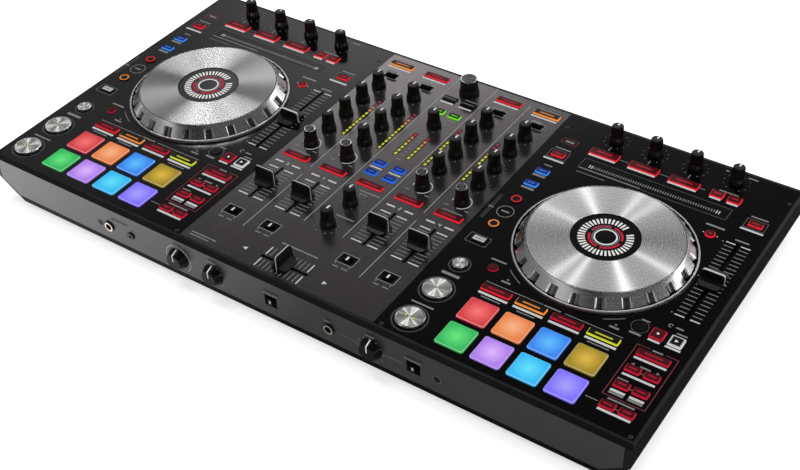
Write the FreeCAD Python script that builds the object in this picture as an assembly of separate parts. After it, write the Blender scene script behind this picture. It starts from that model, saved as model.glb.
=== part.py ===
import FreeCAD, Part
import math
import os
from collections import namedtuple

# Four-channel controller: two decks with jog wheels on either side of a mixer.
# All sizes are in millimetres. X runs to the right, Y to the back, Z up.
# While it is built, Y is counted from the front face and Z from the table.

# Heights
FOOT_H = 4.0
TRAY_T = 1.5
TOP_Z = 51.0
PANEL_T = 1.5
CASE_T = 2.5
FRONT_WALL_T = 4.5
CONTROL_DROP = 7.0
BOARD_T = 1.6

# Clearances
SHAFT_CLEAR = 0.05
KEY_CLEAR = 0.3
SEAT_CLEAR = 0.2
RUN_GAP = 0.3
HOLE_CLEAR = 0.6
SCREW_CLEAR = 0.15

# Case outline
FRONT_BEVEL = 3.4
REAR_BEVEL = 3.4
SIDE_BEVEL = 1.5
RIM_W = 2.6
CORNER_W = 27.0
CORNER_H = 20.0
WALL_LOW_Z = 11.1
WALL_LIFT = 3.2
SHADOW_GAP = 1.4
TRAY_LIP_H = 4.0
TRAY_SETBACK = 1.5
REAR_PANEL_H = 41.0
REAR_REACH = 7.4
REAR_OPENING_MARGIN = 32.0

# Front fascia
FASCIA_T = 2.0
FASCIA_BORDER = 6.0
FASCIA_LIFT = 2.6
FASCIA_LOW_RISE = 0.4
SWITCH_WINDOW_W = 13.0
SWITCH_WINDOW_H = 12.0
FRONT_LINE_Z = 27.0
FRONT_KNOB_REACH = 7.0

# Knobs
SHAFT_R = 3.0
SHAFT_LIFT = 1.0
KNOB_R = 7.3
KNOB_TOP_R = 5.5
KNOB_SKIRT_H = 3.2
KNOB_WAIST_H = 6.6
KNOB_LIFT = 0.4
SKIRT_TAPER = 0.3
WAIST_LEDGE = 0.2
KNOB_TAPER = 0.4
RIB_COUNT = 16
RIB_DEPTH = 0.45
EQ_KNOB_H = 19.4
TRIM_KNOB_H = 17.0
FILTER_KNOB_H = 18.0
CENTRE_KNOB_H = 18.0
EFFECT_KNOB_H = 18.0
BROWSE_KNOB_R = 10.0
BROWSE_KNOB_TOP_R = 8.4
BROWSE_KNOB_H = 17.5
FRONT_KNOB_R = 10.5
FRONT_KNOB_TOP_R = 8.0
POINTER_W = 0.8
POINTER_START = 0.25
POINTER_DEPTH = 0.5
POT_W = 10.0
POT_D = 11.0
FRONT_POT = 12.0
FRONT_POT_L = 8.0

# Keys, pads and round buttons
KEY_CORNER_R = 1.0
KEY_FLANGE = 1.0
FLANGE_T = 1.0
KEY_RISE = 1.2
KEY_H = 7.5
LONG_KEY_W = 27.0
SMALL_KEY_W = 12.5
EFFECT_KEY_W = 28.0
EFFECT_KEY_H = 10.0
SMALL_EFFECT_KEY_W = 12.0
ROUND_KEY_D = 10.5
SLIP_KEY_D = 9.0
SQUARE_KEY = 11.5
KEY_TRAVEL = 1.0
SWITCH_BODY = 6.0
SWITCH_GAP = 0.3
PAD = 26.0
PAD_CORNER_R = 2.0
PAD_GAP_X = 6.24
PAD_GAP_Y = 5.63
PAD_RISE = 1.6
PAD_COUNT_X = 4
PAD_SHIFT = -1.6
TRANSPORT_R = 12.5
SYNC_R = 6.8
TRANSPORT_RISE = 2.4
EDGE_BEVEL = 0.4
TOP_BEVEL = 0.5

# Jog wheel, in radii from its centre and heights above the panel
JOG_RING_R = 78.5
JOG_RING_W = 2.0
JOG_RING_H = 3.0
JOG_RING_STEPS = 6
JOG_GAP = 1.0
JOG_SKIRT_W = 8.4
JOG_SHOULDER_W = 1.0
JOG_TOP = 13.0
JOG_RIM_H = 1.5
JOG_SHOULDER_DROP = 1.2
JOG_LIFT = 0.8
JOG_SHELL = 3.0
JOG_HUB_R = 29.3
JOG_HUB_GAP = 0.5
JOG_POST_R = 20.0
JOG_SLEEVE_T = 3.0
JOG_FLANGE_R = 26.0
JOG_FLANGE_RISE = 0.7
JOG_HUB_T = 2.2
JOG_HUB_SINK = 0.4
SCALLOP_COUNT = 22
SCALLOP_R = 6.5
SCALLOP_DEPTH = 2.0
SCALLOP_TOP_GAP = 3.0

# Faders
FADER_TRAVEL = 45.0
TEMPO_TRAVEL = 100.0
CROSS_TRAVEL = 45.0
CAP_W = 19.5
CAP_L = 16.6
TEMPO_CAP_L = 24.0
CAP_H = 16.0
TEMPO_CAP_H = 10.0
CAP_STEP = 0.62
CAP_RIM = 1.5
CAP_FIN_FOOT = 5.2
CAP_FIN_TOP = 3.4
CAP_CORNER_R = 2.5
CAP_PLAN_R = 5.0
CAP_LIFT = 0.5
STEM_T = 1.2
STEM_L = 3.0
SLOT_W = 2.4
TRACK_W = 10.0
TRACK_WALL = 1.0
TRACK_END = 4.0
CARRIAGE_L = 6.0

# Slide switches
SLIDE_TRAVEL = 2.5
LEVER_W = 4.6
LEVER_D = 5.4
LEVER_RISE = 1.5
SLIDE_OPENING_D = 6.2
SLIDE_BASE_D = 8.0
SLIDE_WINDOW_W = 14.0
SLIDE_WINDOW_D = 9.0
SELECTOR_W = 7.0
SELECTOR_D = 6.0
SELECTOR_H = 4.8
SELECTOR_STEM_W = 2.0

# Deck layout: distances along the deck from the front face and from its centre line
FRONT_EDGE = 13.6
MODE_GAP = 12.0
JOG_FRONT_GAP = 9.8
STRIP_GAP = 6.5
STRIP_W = 141.0
STRIP_H = 15.0
EFFECT_KEY_GAP = 9.0
EFFECT_KNOB_GAP = 11.7
BACK_MARGIN = 11.3
EFFECT_PITCH = 39.3
SMALL_EFFECT_PITCH = 16.0
COLUMN_GAP = 14.0
COLUMN_EDGE = 22.45
SMALL_COLUMN_SHIFT = 2.7
PLAY_Y = 25.0
TRANSPORT_PITCH = 39.0
SYNC_PITCH = 35.0
BLUE_DROP = 29.5
BLUE_PITCH = 19.8
RING_KEY_DROP = 26.2
RING_KEY_PITCH = 38.5
SHIFT_DROP = 23.5
PARAMETER_Y = 26.5
LOOP_PITCH = 23.0
HALF_PITCH = 18.5
AUTO_PITCH = 19.0
FLIP_PITCH = 24.0
PAIR_PITCH = 15.7
LOOP_INSET = 3.4
SLIP_GAP = 12.9
SLIP_ANGLE = 42.7
ADJUST_GAP = 17.7
ADJUST_ANGLE = 225.8
ADJUST_KNOB_D = 9.0
TEMPO_SHIFT = 10.0

# Mixer layout
CHANNEL_PITCH = 41.5
MIXER_EDGE = 19.1
CROSS_Y = 22.0
ASSIGN_PITCH = 33.0
FADER_PITCH = 46.0
CUE_PITCH = 45.0
FILTER_PITCH = 22.0
EQ_PITCH = 27.4
SELECTOR_PITCH = 21.4
LOAD_PITCH = 20.5
LOAD_MARGIN = 12.3
CENTRE_LOW_DROP = 18.0
CENTRE_LOW_PITCH = 33.0
BLUE_KEY_X = 10.3
BLUE_KEY_RISE = 15.8
BLUE_KEY_PITCH = 14.6
GREEN_KEY_X = 8.8
GREEN_KEY_RISE = 22.0
DARK_KEY_X = 10.3
DARK_KEY_W = 15.0
DARK_KEY_RISE = 44.5
BROWSE_RISE = 63.0
METER_SHIFT = 16.2
METER_W = 4.0
METER_L = 64.0
MASTER_METER_X = 7.2
MASTER_METER_L = 38.0
METER_START = 26.0

# Fasteners and feet
POST_R = 3.5
POST_SHIFT = 80.0
POST_FRONT_Y = 12.0
SCREW_R = 1.4
SCREW_HEAD_R = 2.9
SCREW_HEAD_H = 1.4
SCREW_L = 12.0
PANEL_SCREW_R = 1.2
PANEL_SCREW_HEAD_R = 2.0
SCREW_CROSS_L = 2.4
SCREW_CROSS_W = 0.6
PANEL_SCREW_HEAD_H = 1.3
PANEL_SCREW_INSET = 6.0
PANEL_SCREW_L = 5.0
PANEL_SCREW_Y = 22.5
FOOT_R = 11.0
FOOT_INSET_X = 82.0
FOOT_INSET_Y = 31.0

# Boards
BOARD_MARGIN = 11.0
MAIN_BOARD_W = 380.0
MAIN_BOARD_D = 120.0
STANDOFF_H = 8.5
STANDOFF_R = 3.0
STANDOFF_INSET = 8.0

# Small allowances
SLOT_END_CLEAR = 2.0
LEVER_END_CLEAR = 1.0
SLIDE_BASE_OVERLAP = 1.5
POST_BACK_GAP = 1.5
PANEL_SCREW_FRONT_SHIFT = 3.0
REAR_OPENING_DROP = 3.0
RIM_CORNER_R = 0.01

# Sockets, with the front ones at their distance from the centre line
PHONES_X = -186.0
MINI_PHONES_X = -159.5
MIC_X = 60.5
PHONES_LEVEL_X = -103.0
PHONES_MIX_X = -63.0
MIC_LEVEL_X = 103.0
CURVE_SWITCH_X = 0.0
MIC_SWITCH_X = 143.5
JACK_R = 3.2
MINI_JACK_R = 1.8
JACK_BARREL_R = 4.6
MINI_BARREL_R = 3.0
JACK_NUT_WALL = 0.9
JACK_NUT_T = 1.4
JACK_DEPTH = 22.0
MINI_DEPTH = 14.0
JACK_BODY_W = 14.0
JACK_BODY_H = 12.0
MINI_BODY_W = 9.0
MINI_BODY_H = 8.0
RCA_R = 4.1
RCA_FLANGE_R = 5.4
RCA_PIN_R = 1.6
RCA_PITCH_X = 28.0
RCA_PITCH_Z = 14.0
RCA_FIRST_X = -104.0
RCA_PAIRS = 5
BOOTH_FIRST_X = 42.0
BOOTH_PITCH = 22.0
XLR_FIRST_X = 104.0
XLR_PITCH = 68.0
XLR_R = 11.0
XLR_CAVITY_R = 9.3
XLR_DEPTH = 16.0
XLR_PIN_R = 1.2
XLR_PIN_CIRCLE_R = 4.6
XLR_PIN_L = 10.5
REAR_MIC_X = 212.0
REAR_MIC_PITCH = 28.0
USB_FIRST_X = -150.0
USB_PITCH = -28.0
USB_W = 12.0
USB_H = 11.0
USB_WALL = 1.4
USB_DEPTH = 9.0
USB_TONGUE_L = 4.5
USB_BODY_L = 16.0
DC_X = -240.0
DC_BODY = 11.0
DC_R = 3.1
DC_DEPTH = 9.5
DC_PIN_R = 1.0
DC_PIN_L = 5.0
SOCKET_REACH = 4.0
SOCKET_LIP = 2.0
RCA_TAIL = 8.0
RCA_FLANGE_T = 2.0
XLR_BACK_T = 4.0
XLR_STEP = 1.5
USB_REACH = 1.5
USB_TONGUE_W = 5.6
USB_TONGUE_T = 3.2
DC_REACH = 1.5
DC_BODY_L = 14.0
REAR_LINE_Z = 27.0

# Places and sizes that follow from the values above
WALL_TOP_Z = TOP_Z - PANEL_T
WALL_UNDER_Z = WALL_TOP_Z - CASE_T
BOARD_TOP_Z = WALL_UNDER_Z - CONTROL_DROP
TRAY_FLOOR_Z = FOOT_H + TRAY_T

MODE_Y = FRONT_EDGE + 2 * PAD + PAD_GAP_Y + MODE_GAP + KEY_H / 2
JOG_Y = MODE_Y + KEY_H / 2 + JOG_FRONT_GAP + JOG_RING_R
STRIP_Y = JOG_Y + JOG_RING_R + STRIP_GAP + STRIP_H / 2
EFFECT_KEY_Y = STRIP_Y + STRIP_H / 2 + EFFECT_KEY_GAP + EFFECT_KEY_H / 2
EFFECT_KNOB_Y = EFFECT_KEY_Y + EFFECT_KEY_H / 2 + EFFECT_KNOB_GAP + KNOB_R

ASSIGN_Y = CROSS_Y + ASSIGN_PITCH
FADER_Y = ASSIGN_Y + FADER_PITCH
CUE_KEY_Y = FADER_Y + CUE_PITCH
FILTER_Y = CUE_KEY_Y + FILTER_PITCH
LOW_Y = FILTER_Y + EQ_PITCH
MID_Y = LOW_Y + EQ_PITCH
HIGH_Y = MID_Y + EQ_PITCH
TRIM_Y = HIGH_Y + EQ_PITCH
SELECTOR_Y = TRIM_Y + SELECTOR_PITCH
LOAD_Y = SELECTOR_Y + LOAD_PITCH

PANEL_BACK = max(EFFECT_KNOB_Y + KNOB_R + BACK_MARGIN, LOAD_Y + KEY_H / 2 + LOAD_MARGIN)
CASE_D = PANEL_BACK + REAR_BEVEL
COLUMN_U = JOG_RING_R + COLUMN_GAP
SMALL_COLUMN_U = COLUMN_U + SMALL_COLUMN_SHIFT
DECK_W = 2 * (COLUMN_U + COLUMN_EDGE)
MIXER_W = 2 * (2 * CHANNEL_PITCH + MIXER_EDGE)
CASE_W = 2 * DECK_W + MIXER_W
DECK_X = MIXER_W / 2 + DECK_W / 2
DECKS = {"left": -DECK_X, "right": DECK_X}
CHANNELS = {3: -2 * CHANNEL_PITCH, 1: -CHANNEL_PITCH, 2: CHANNEL_PITCH, 4: 2 * CHANNEL_PITCH}
ORIGIN_Y = (CASE_D + REAR_REACH - FRONT_KNOB_REACH) / 2

JOG_SKIRT_R = JOG_RING_R - JOG_RING_W - JOG_GAP
JOG_DISC_R = JOG_SKIRT_R - JOG_SKIRT_W
FLANGE_Y = CASE_D - CASE_T - SEAT_CLEAR - TRAY_T
REAR_FACE_Y = FLANGE_Y + TRAY_T
POST_BACK_Y = FLANGE_Y - POST_R - POST_BACK_GAP
LEVER_SLOT_W = LEVER_W + 2 * SLIDE_TRAVEL + LEVER_END_CLEAR
POST_ROWS = [POST_FRONT_Y, (POST_FRONT_Y + POST_BACK_Y) / 2, POST_BACK_Y]

Spot = namedtuple("Spot", "x y w h round")


def vector(x, y, z):
    return FreeCAD.Vector(x, y, z)


def key_spot(x, y, w, h):
    return Spot(x, y, w, h, False)


def round_spot(x, y, d):
    return Spot(x, y, d, d, True)


def box(x0, x1, y0, y1, z0, z1):
    return Part.makeBox(x1 - x0, y1 - y0, z1 - z0, vector(x0, y0, z0))


def upright(x, y, r, z0, z1):
    return Part.makeCylinder(r, z1 - z0, vector(x, y, z0))


def along_y(x, z, r, y0, y1):
    return Part.makeCylinder(r, y1 - y0, vector(x, y0, z), vector(0, 1, 0))


def circle_wire(x, y, r, z):
    return Part.Wire([Part.Circle(vector(x, y, z), vector(0, 0, 1), r).toShape()])


def rounded_wire(x, y, w, h, r, z):
    """A rectangle with rounded corners, centred on x, y."""
    left, right = x - w / 2, x + w / 2
    low, high = y - h / 2, y + h / 2
    k = r * (1 - math.sqrt(0.5))
    edges = [
        Part.LineSegment(vector(left + r, low, z), vector(right - r, low, z)),
        Part.Arc(vector(right - r, low, z), vector(right - k, low + k, z), vector(right, low + r, z)),
        Part.LineSegment(vector(right, low + r, z), vector(right, high - r, z)),
        Part.Arc(vector(right, high - r, z), vector(right - k, high - k, z), vector(right - r, high, z)),
        Part.LineSegment(vector(right - r, high, z), vector(left + r, high, z)),
        Part.Arc(vector(left + r, high, z), vector(left + k, high - k, z), vector(left, high - r, z)),
        Part.LineSegment(vector(left, high - r, z), vector(left, low + r, z)),
        Part.Arc(vector(left, low + r, z), vector(left + k, low + k, z), vector(left + r, low, z)),
    ]
    return Part.Wire([edge.toShape() for edge in edges])


def outline(spot, grow, z, corner=KEY_CORNER_R):
    """The closed outline of a spot, grown outwards."""
    if spot.round:
        return circle_wire(spot.x, spot.y, spot.w / 2 + grow, z)
    radius = min(corner + grow, 0.45 * min(spot.w + 2 * grow, spot.h + 2 * grow))
    return rounded_wire(spot.x, spot.y, spot.w + 2 * grow, spot.h + 2 * grow, radius, z)


def slab(outer, holes, height):
    """A flat plate raised from an outline, with the holes left open."""
    face = Part.makeFace([outer] + holes, "Part::FaceMakerBullseye")
    return face.extrude(vector(0, 0, height))


def raised(spot, grow, z0, z1, corner=KEY_CORNER_R):
    return slab(outline(spot, grow, z0, corner), [], z1 - z0)


def front_polygon(points, y0, y1):
    """A prism along Y over an outline given as X, Z points."""
    corners = [vector(x, y0, z) for x, z in points]
    face = Part.Face(Part.makePolygon(corners + corners[:1]))
    return face.extrude(vector(0, y1 - y0, 0))


def turned(profile, x, y):
    """A solid of revolution about an upright axis, from radius, height points."""
    corners = [vector(r, 0, z) for r, z in profile]
    face = Part.Face(Part.makePolygon(corners + corners[:1]))
    solid = face.revolve(vector(0, 0, 0), vector(0, 0, 1), 360)
    solid.translate(vector(x, y, 0))
    return solid


def bevelled_top(solid, size):
    """The solid with the edges of its top face bevelled."""
    top = solid.BoundBox.ZMax
    edges = [e for e in solid.Edges if e.BoundBox.ZMin > top - 1e-4]
    return solid.makeChamfer(size, edges)


def at(solid, x, y):
    """A copy of a solid that was made at the origin."""
    copy = solid.copy()
    copy.translate(vector(x, y, 0))
    return copy


def save(name, solids):
    shape = solids[0] if len(solids) == 1 else Part.makeCompound(solids)
    shape.translate(vector(0, -ORIGIN_Y, 0))
    shape.exportStep("parts/%s.step" % name)


# Places of the controls on a deck whose centre line is at X = cx


def pad_spots(cx):
    pitch_x = PAD + PAD_GAP_X
    first = cx + PAD_SHIFT - pitch_x * (PAD_COUNT_X - 1) / 2
    rows = [FRONT_EDGE + PAD / 2, FRONT_EDGE + PAD * 1.5 + PAD_GAP_Y]
    return [key_spot(first + pitch_x * i, y, PAD, PAD) for y in rows for i in range(PAD_COUNT_X)]


def transport_spots(cx):
    x = cx - COLUMN_U
    cue_y = PLAY_Y + TRANSPORT_PITCH
    return [
        round_spot(x, PLAY_Y, 2 * TRANSPORT_R),
        round_spot(x, cue_y, 2 * TRANSPORT_R),
        round_spot(x, cue_y + SYNC_PITCH, 2 * SYNC_R),
    ]


def around_jog(cx, gap, angle):
    reach = JOG_RING_R + gap
    return cx + reach * math.cos(math.radians(angle)), JOG_Y + reach * math.sin(math.radians(angle))


def mode_key_spots(cx):
    return [key_spot(pad.x, MODE_Y, LONG_KEY_W, KEY_H) for pad in pad_spots(cx)[:PAD_COUNT_X]]


def effect_key_spots(cx):
    long_keys = [
        key_spot(cx + EFFECT_PITCH * (i - 1.5), EFFECT_KEY_Y, EFFECT_KEY_W, EFFECT_KEY_H)
        for i in range(3)
    ]
    last = cx + EFFECT_PITCH * 1.5
    small_keys = [
        key_spot(last + side * SMALL_EFFECT_PITCH / 2, EFFECT_KEY_Y, SMALL_EFFECT_KEY_W, EFFECT_KEY_H)
        for side in (-1, 1)
    ]
    return long_keys + small_keys


def column_key_spots(cx):
    """The small keys in the column on the left of a deck, from the back."""
    x = cx - SMALL_COLUMN_U
    blue_y = STRIP_Y - BLUE_DROP
    ring_y = blue_y - BLUE_PITCH - RING_KEY_DROP
    low_ring_y = ring_y - RING_KEY_PITCH
    return [
        key_spot(x, STRIP_Y, SMALL_KEY_W, KEY_H),
        key_spot(x, blue_y, SMALL_KEY_W, KEY_H),
        key_spot(x, blue_y - BLUE_PITCH, SMALL_KEY_W, KEY_H),
        round_spot(x, ring_y, ROUND_KEY_D),
        round_spot(x, low_ring_y, ROUND_KEY_D),
        key_spot(x, low_ring_y - SHIFT_DROP, SMALL_KEY_W, KEY_H),
    ]


def loop_key_spots(cx):
    """The block of loop keys in front of the tempo fader, from the front."""
    x = cx + COLUMN_U - LOOP_INSET
    pair = [x - PAIR_PITCH / 2, x + PAIR_PITCH / 2]
    loop_y = PARAMETER_Y + LOOP_PITCH
    half_y = loop_y + HALF_PITCH
    auto_y = half_y + AUTO_PITCH
    flip_y = auto_y + FLIP_PITCH
    spots = [key_spot(px, y, SMALL_KEY_W, KEY_H) for y in (PARAMETER_Y, loop_y, half_y) for px in pair]
    spots.append(key_spot(x, auto_y, LONG_KEY_W, KEY_H))
    spots += [key_spot(px, flip_y, SQUARE_KEY, SQUARE_KEY) for px in pair]
    spots.append(round_spot(pair[0] - PAIR_PITCH, flip_y, ROUND_KEY_D))
    return spots


def single_key_spots(cx):
    slip_x, slip_y = around_jog(cx, SLIP_GAP, SLIP_ANGLE)
    return [
        round_spot(slip_x, slip_y, SLIP_KEY_D),
        key_spot(cx + SMALL_COLUMN_U, STRIP_Y, SMALL_KEY_W, KEY_H),
    ]


def deck_key_spots(cx):
    spots = mode_key_spots(cx) + effect_key_spots(cx) + column_key_spots(cx)
    return spots + loop_key_spots(cx) + single_key_spots(cx)


def adjust_spot(cx):
    x, y = around_jog(cx, ADJUST_GAP, ADJUST_ANGLE)
    return round_spot(x, y, ADJUST_KNOB_D)


def effect_knob_places(cx):
    return [(cx + EFFECT_PITCH * (i - 1.5), EFFECT_KNOB_Y) for i in range(4)]


def tempo_place(cx):
    return cx + COLUMN_U, JOG_Y + TEMPO_SHIFT


# Places of the controls on the mixer


def mixer_key_spots():
    spots = [key_spot(x, LOAD_Y, LONG_KEY_W, KEY_H) for x in CHANNELS.values()]
    spots += [key_spot(x, CUE_KEY_Y, LONG_KEY_W, KEY_H) for x in CHANNELS.values()]
    spots.append(key_spot(0, CUE_KEY_Y, LONG_KEY_W, KEY_H))
    for side in (-1, 1):
        for row in (0, 1):
            y = CUE_KEY_Y + BLUE_KEY_RISE + row * BLUE_KEY_PITCH
            spots.append(key_spot(side * BLUE_KEY_X, y, SMALL_KEY_W, KEY_H))
        spots.append(key_spot(side * GREEN_KEY_X, HIGH_Y + GREEN_KEY_RISE, SMALL_KEY_W, KEY_H))
        spots.append(key_spot(side * DARK_KEY_X, HIGH_Y + DARK_KEY_RISE, DARK_KEY_W, KEY_H))
    return spots


def channel_knobs():
    """Name, X, Y and height of every knob in the four channel strips."""
    rows = [
        ("trim", TRIM_Y, TRIM_KNOB_H),
        ("high", HIGH_Y, EQ_KNOB_H),
        ("mid", MID_Y, EQ_KNOB_H),
        ("low", LOW_Y, EQ_KNOB_H),
        ("filter", FILTER_Y, FILTER_KNOB_H),
    ]
    return [
        ("%s_knob_%d" % (row, number), x, y, height)
        for row, y, height in rows
        for number, x in CHANNELS.items()
    ]


def centre_knobs():
    """Name, X, Y and height of the level knobs on the mixer's centre line."""
    return [
        ("master_level_knob", 0, HIGH_Y, CENTRE_KNOB_H),
        ("booth_level_knob", 0, FADER_Y - CENTRE_LOW_DROP + CENTRE_LOW_PITCH, CENTRE_KNOB_H),
        ("sampler_level_knob", 0, FADER_Y - CENTRE_LOW_DROP, CENTRE_KNOB_H),
    ]


def effect_knobs():
    return [
        ("effect_knob_%s_%d" % (side, i + 1), x, y, EFFECT_KNOB_H)
        for side, cx in DECKS.items()
        for i, (x, y) in enumerate(effect_knob_places(cx))
    ]


def front_knobs():
    return [
        ("phones_level_knob", PHONES_LEVEL_X),
        ("phones_mix_knob", PHONES_MIX_X),
        ("mic_level_knob", MIC_LEVEL_X),
    ]


BROWSE_PLACE = (0, HIGH_Y + BROWSE_RISE)


def upright_knob_places():
    places = [(x, y) for _, x, y, _ in channel_knobs() + centre_knobs() + effect_knobs()]
    return places + [BROWSE_PLACE]


def meter_spots():
    y = LOW_Y - EQ_PITCH + METER_START + METER_L / 2
    spots = []
    for x in CHANNELS.values():
        inwards = -1 if x > 0 else 1
        spots.append(key_spot(x + inwards * METER_SHIFT, y, METER_W, METER_L))
    low_y = LOW_Y - EQ_PITCH + METER_START + MASTER_METER_L / 2
    spots += [key_spot(side * MASTER_METER_X, low_y, METER_W, MASTER_METER_L) for side in (-1, 1)]
    return spots


def strip_spot(cx):
    return key_spot(cx, STRIP_Y, STRIP_W, STRIP_H)


def slide_spot(x, y):
    """The opening that a slide switch's lever moves in."""
    return key_spot(x, y, LEVER_SLOT_W, SLIDE_OPENING_D)


def selector_spot(x, y):
    return key_spot(x, y, SELECTOR_STEM_W + 2 * SLIDE_TRAVEL + LEVER_END_CLEAR, SLOT_W)


def slot_spot(x, y, travel, sideways=False):
    length = travel + STEM_L + SLOT_END_CLEAR
    return key_spot(x, y, length, SLOT_W) if sideways else key_spot(x, y, SLOT_W, length)


def deck_holes(cx):
    """Every spot that is open right through a deck's panel and the case."""
    keys = [(spot, KEY_CLEAR, KEY_CORNER_R) for spot in transport_spots(cx) + deck_key_spots(cx)]
    keys += [(spot, KEY_CLEAR, PAD_CORNER_R) for spot in pad_spots(cx)]
    keys.append((slot_spot(*tempo_place(cx), TEMPO_TRAVEL), 0, KEY_CORNER_R))
    shafts = [(round_spot(x, y, 2 * SHAFT_R), HOLE_CLEAR, 0) for x, y in effect_knob_places(cx)]
    return keys + shafts


def mixer_holes():
    holes = [(spot, KEY_CLEAR, KEY_CORNER_R) for spot in mixer_key_spots()]
    for x in CHANNELS.values():
        holes.append((slot_spot(x, FADER_Y, FADER_TRAVEL), 0, KEY_CORNER_R))
    holes.append((slot_spot(0, CROSS_Y, CROSS_TRAVEL, True), 0, KEY_CORNER_R))
    places = [(x, y) for _, x, y, _ in channel_knobs() + centre_knobs()] + [BROWSE_PLACE]
    holes += [(round_spot(x, y, 2 * SHAFT_R), HOLE_CLEAR, 0) for x, y in places]
    return holes


def panel_screw_places(cx):
    xs = [cx - DECK_W / 2 + PANEL_SCREW_INSET, cx + DECK_W / 2 - PANEL_SCREW_INSET]
    ys = [POST_FRONT_Y - PANEL_SCREW_FRONT_SHIFT, PANEL_BACK - PANEL_SCREW_Y]
    return [(x, y) for x in xs for y in ys]


def post_places():
    return [(cx + side * POST_SHIFT, y) for cx in DECKS.values() for side in (-1, 1) for y in POST_ROWS]


# Case


def corner_points(half, lift, low):
    """The right lower corner of an outline: where it leaves the side and where it meets the bottom."""
    slope = CORNER_H / CORNER_W
    high = FOOT_H + lift + CORNER_H - slope * (CASE_W / 2 - half)
    return [(half, high), (half - (high - low) / slope, low)]


def mirrored(points):
    """An outline from its right half, which runs from the top down."""
    return points + [(-x, z) for x, z in reversed(points)]


def case_outline(drop):
    half = CASE_W / 2
    corner = [(x, z - drop) for x, z in corner_points(half, WALL_LIFT, WALL_LOW_Z)]
    return mirrored([(half - SIDE_BEVEL, TOP_Z), (half, TOP_Z - SIDE_BEVEL)] + corner)


def fascia_outline(grow):
    half = CASE_W / 2 - FASCIA_BORDER + grow
    low = WALL_LOW_Z + FASCIA_LOW_RISE - grow
    corner = corner_points(half, WALL_LIFT + FASCIA_LIFT - grow, low)
    return mirrored([(half, TOP_Z - FRONT_BEVEL + grow)] + corner)


def front_bevel_cut():
    low = TOP_Z - FRONT_BEVEL - 1
    return bevel_prism([vector(0, -1, TOP_Z + 1), vector(0, -1, low), vector(0, FRONT_BEVEL + 1, TOP_Z + 1)])


def rear_bevel_cut():
    end = CASE_D + 1
    low = TOP_Z - REAR_BEVEL - 1
    return bevel_prism([vector(0, end, TOP_Z + 1), vector(0, end, low), vector(0, PANEL_BACK - 1, TOP_Z + 1)])


def bevel_prism(corners):
    face = Part.Face(Part.makePolygon(corners + corners[:1]))
    face.translate(vector(-CASE_W, 0, 0))
    return face.extrude(vector(2 * CASE_W, 0, 0))


def front_openings(switch_w, switch_h):
    """What passes through the fascia and the case's front wall."""
    depth = FRONT_WALL_T + 1
    tools = [along_y(x, FRONT_LINE_Z, SHAFT_R + HOLE_CLEAR, -1, depth) for _, x in front_knobs()]
    tools += [along_y(x, FRONT_LINE_Z, JACK_BARREL_R + SEAT_CLEAR, -1, depth) for x in (PHONES_X, MIC_X)]
    tools.append(along_y(MINI_PHONES_X, FRONT_LINE_Z, MINI_BARREL_R + SEAT_CLEAR, -1, depth))
    low = FRONT_LINE_Z - switch_h / 2
    for x in (CURVE_SWITCH_X, MIC_SWITCH_X):
        tools.append(box(x - switch_w / 2, x + switch_w / 2, -1, depth, low, low + switch_h))
    return tools


def panel_area():
    """X range and Y range of the recess that holds the three panels."""
    half = CASE_W / 2 - RIM_W
    return -half, half, FRONT_BEVEL + RIM_W, PANEL_BACK - RIM_W


def case_holes():
    """Every hole through the case's top wall, which is also one through a panel."""
    holes = mixer_holes()
    for x in CHANNELS.values():
        holes.append((slide_spot(x, ASSIGN_Y), 0, KEY_CORNER_R))
        holes.append((selector_spot(x, SELECTOR_Y), 0, KEY_CORNER_R))
    for cx in DECKS.values():
        holes += deck_holes(cx)
        spot = adjust_spot(cx)
        holes.append((round_spot(spot.x, spot.y, 2 * SHAFT_R), HOLE_CLEAR, 0))
        holes += [(round_spot(x, y, 2 * PANEL_SCREW_R), SCREW_CLEAR, 0) for x, y in panel_screw_places(cx)]
    return holes


def upper_case():
    """Front, side and rear walls with a rim on top, the wall under the panels, and the screw posts."""
    half = CASE_W / 2 - CASE_T
    x0, x1, y0, y1 = panel_area()
    rear_half = CASE_W / 2 - REAR_OPENING_MARGIN
    rear_high = FOOT_H + REAR_PANEL_H - REAR_OPENING_DROP
    tools = [
        box(-half, half, FRONT_WALL_T, CASE_D - CASE_T, -1, WALL_UNDER_Z),
        box(x0, x1, y0, y1, WALL_UNDER_Z - 1, TOP_Z + 1),
        box(-rear_half, rear_half, CASE_D - CASE_T - 1, CASE_D + 1, WALL_LOW_Z + 1, rear_high),
        front_polygon(fascia_outline(SEAT_CLEAR), -1, FASCIA_T),
        front_bevel_cut(),
        rear_bevel_cut(),
    ]
    tools += front_openings(LEVER_SLOT_W, SLIDE_OPENING_D)
    walls = front_polygon(case_outline(0), 0, CASE_D).cut(Part.makeCompound(tools))
    wires = [outline(spot, grow, WALL_UNDER_Z, corner) for spot, grow, corner in case_holes()]
    rim = rounded_wire((x0 + x1) / 2, (y0 + y1) / 2, x1 - x0, y1 - y0, RIM_CORNER_R, WALL_UNDER_Z)
    top_wall = slab(rim, wires, CASE_T)
    posts = []
    for x, y in post_places():
        post = upright(x, y, POST_R, TRAY_FLOOR_Z, WALL_UNDER_Z)
        posts.append(post.cut(upright(x, y, SCREW_R + SCREW_CLEAR, TRAY_FLOOR_Z - 1, TRAY_FLOOR_Z + SCREW_L)))
    return [walls.fuse([top_wall] + posts)]


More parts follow.
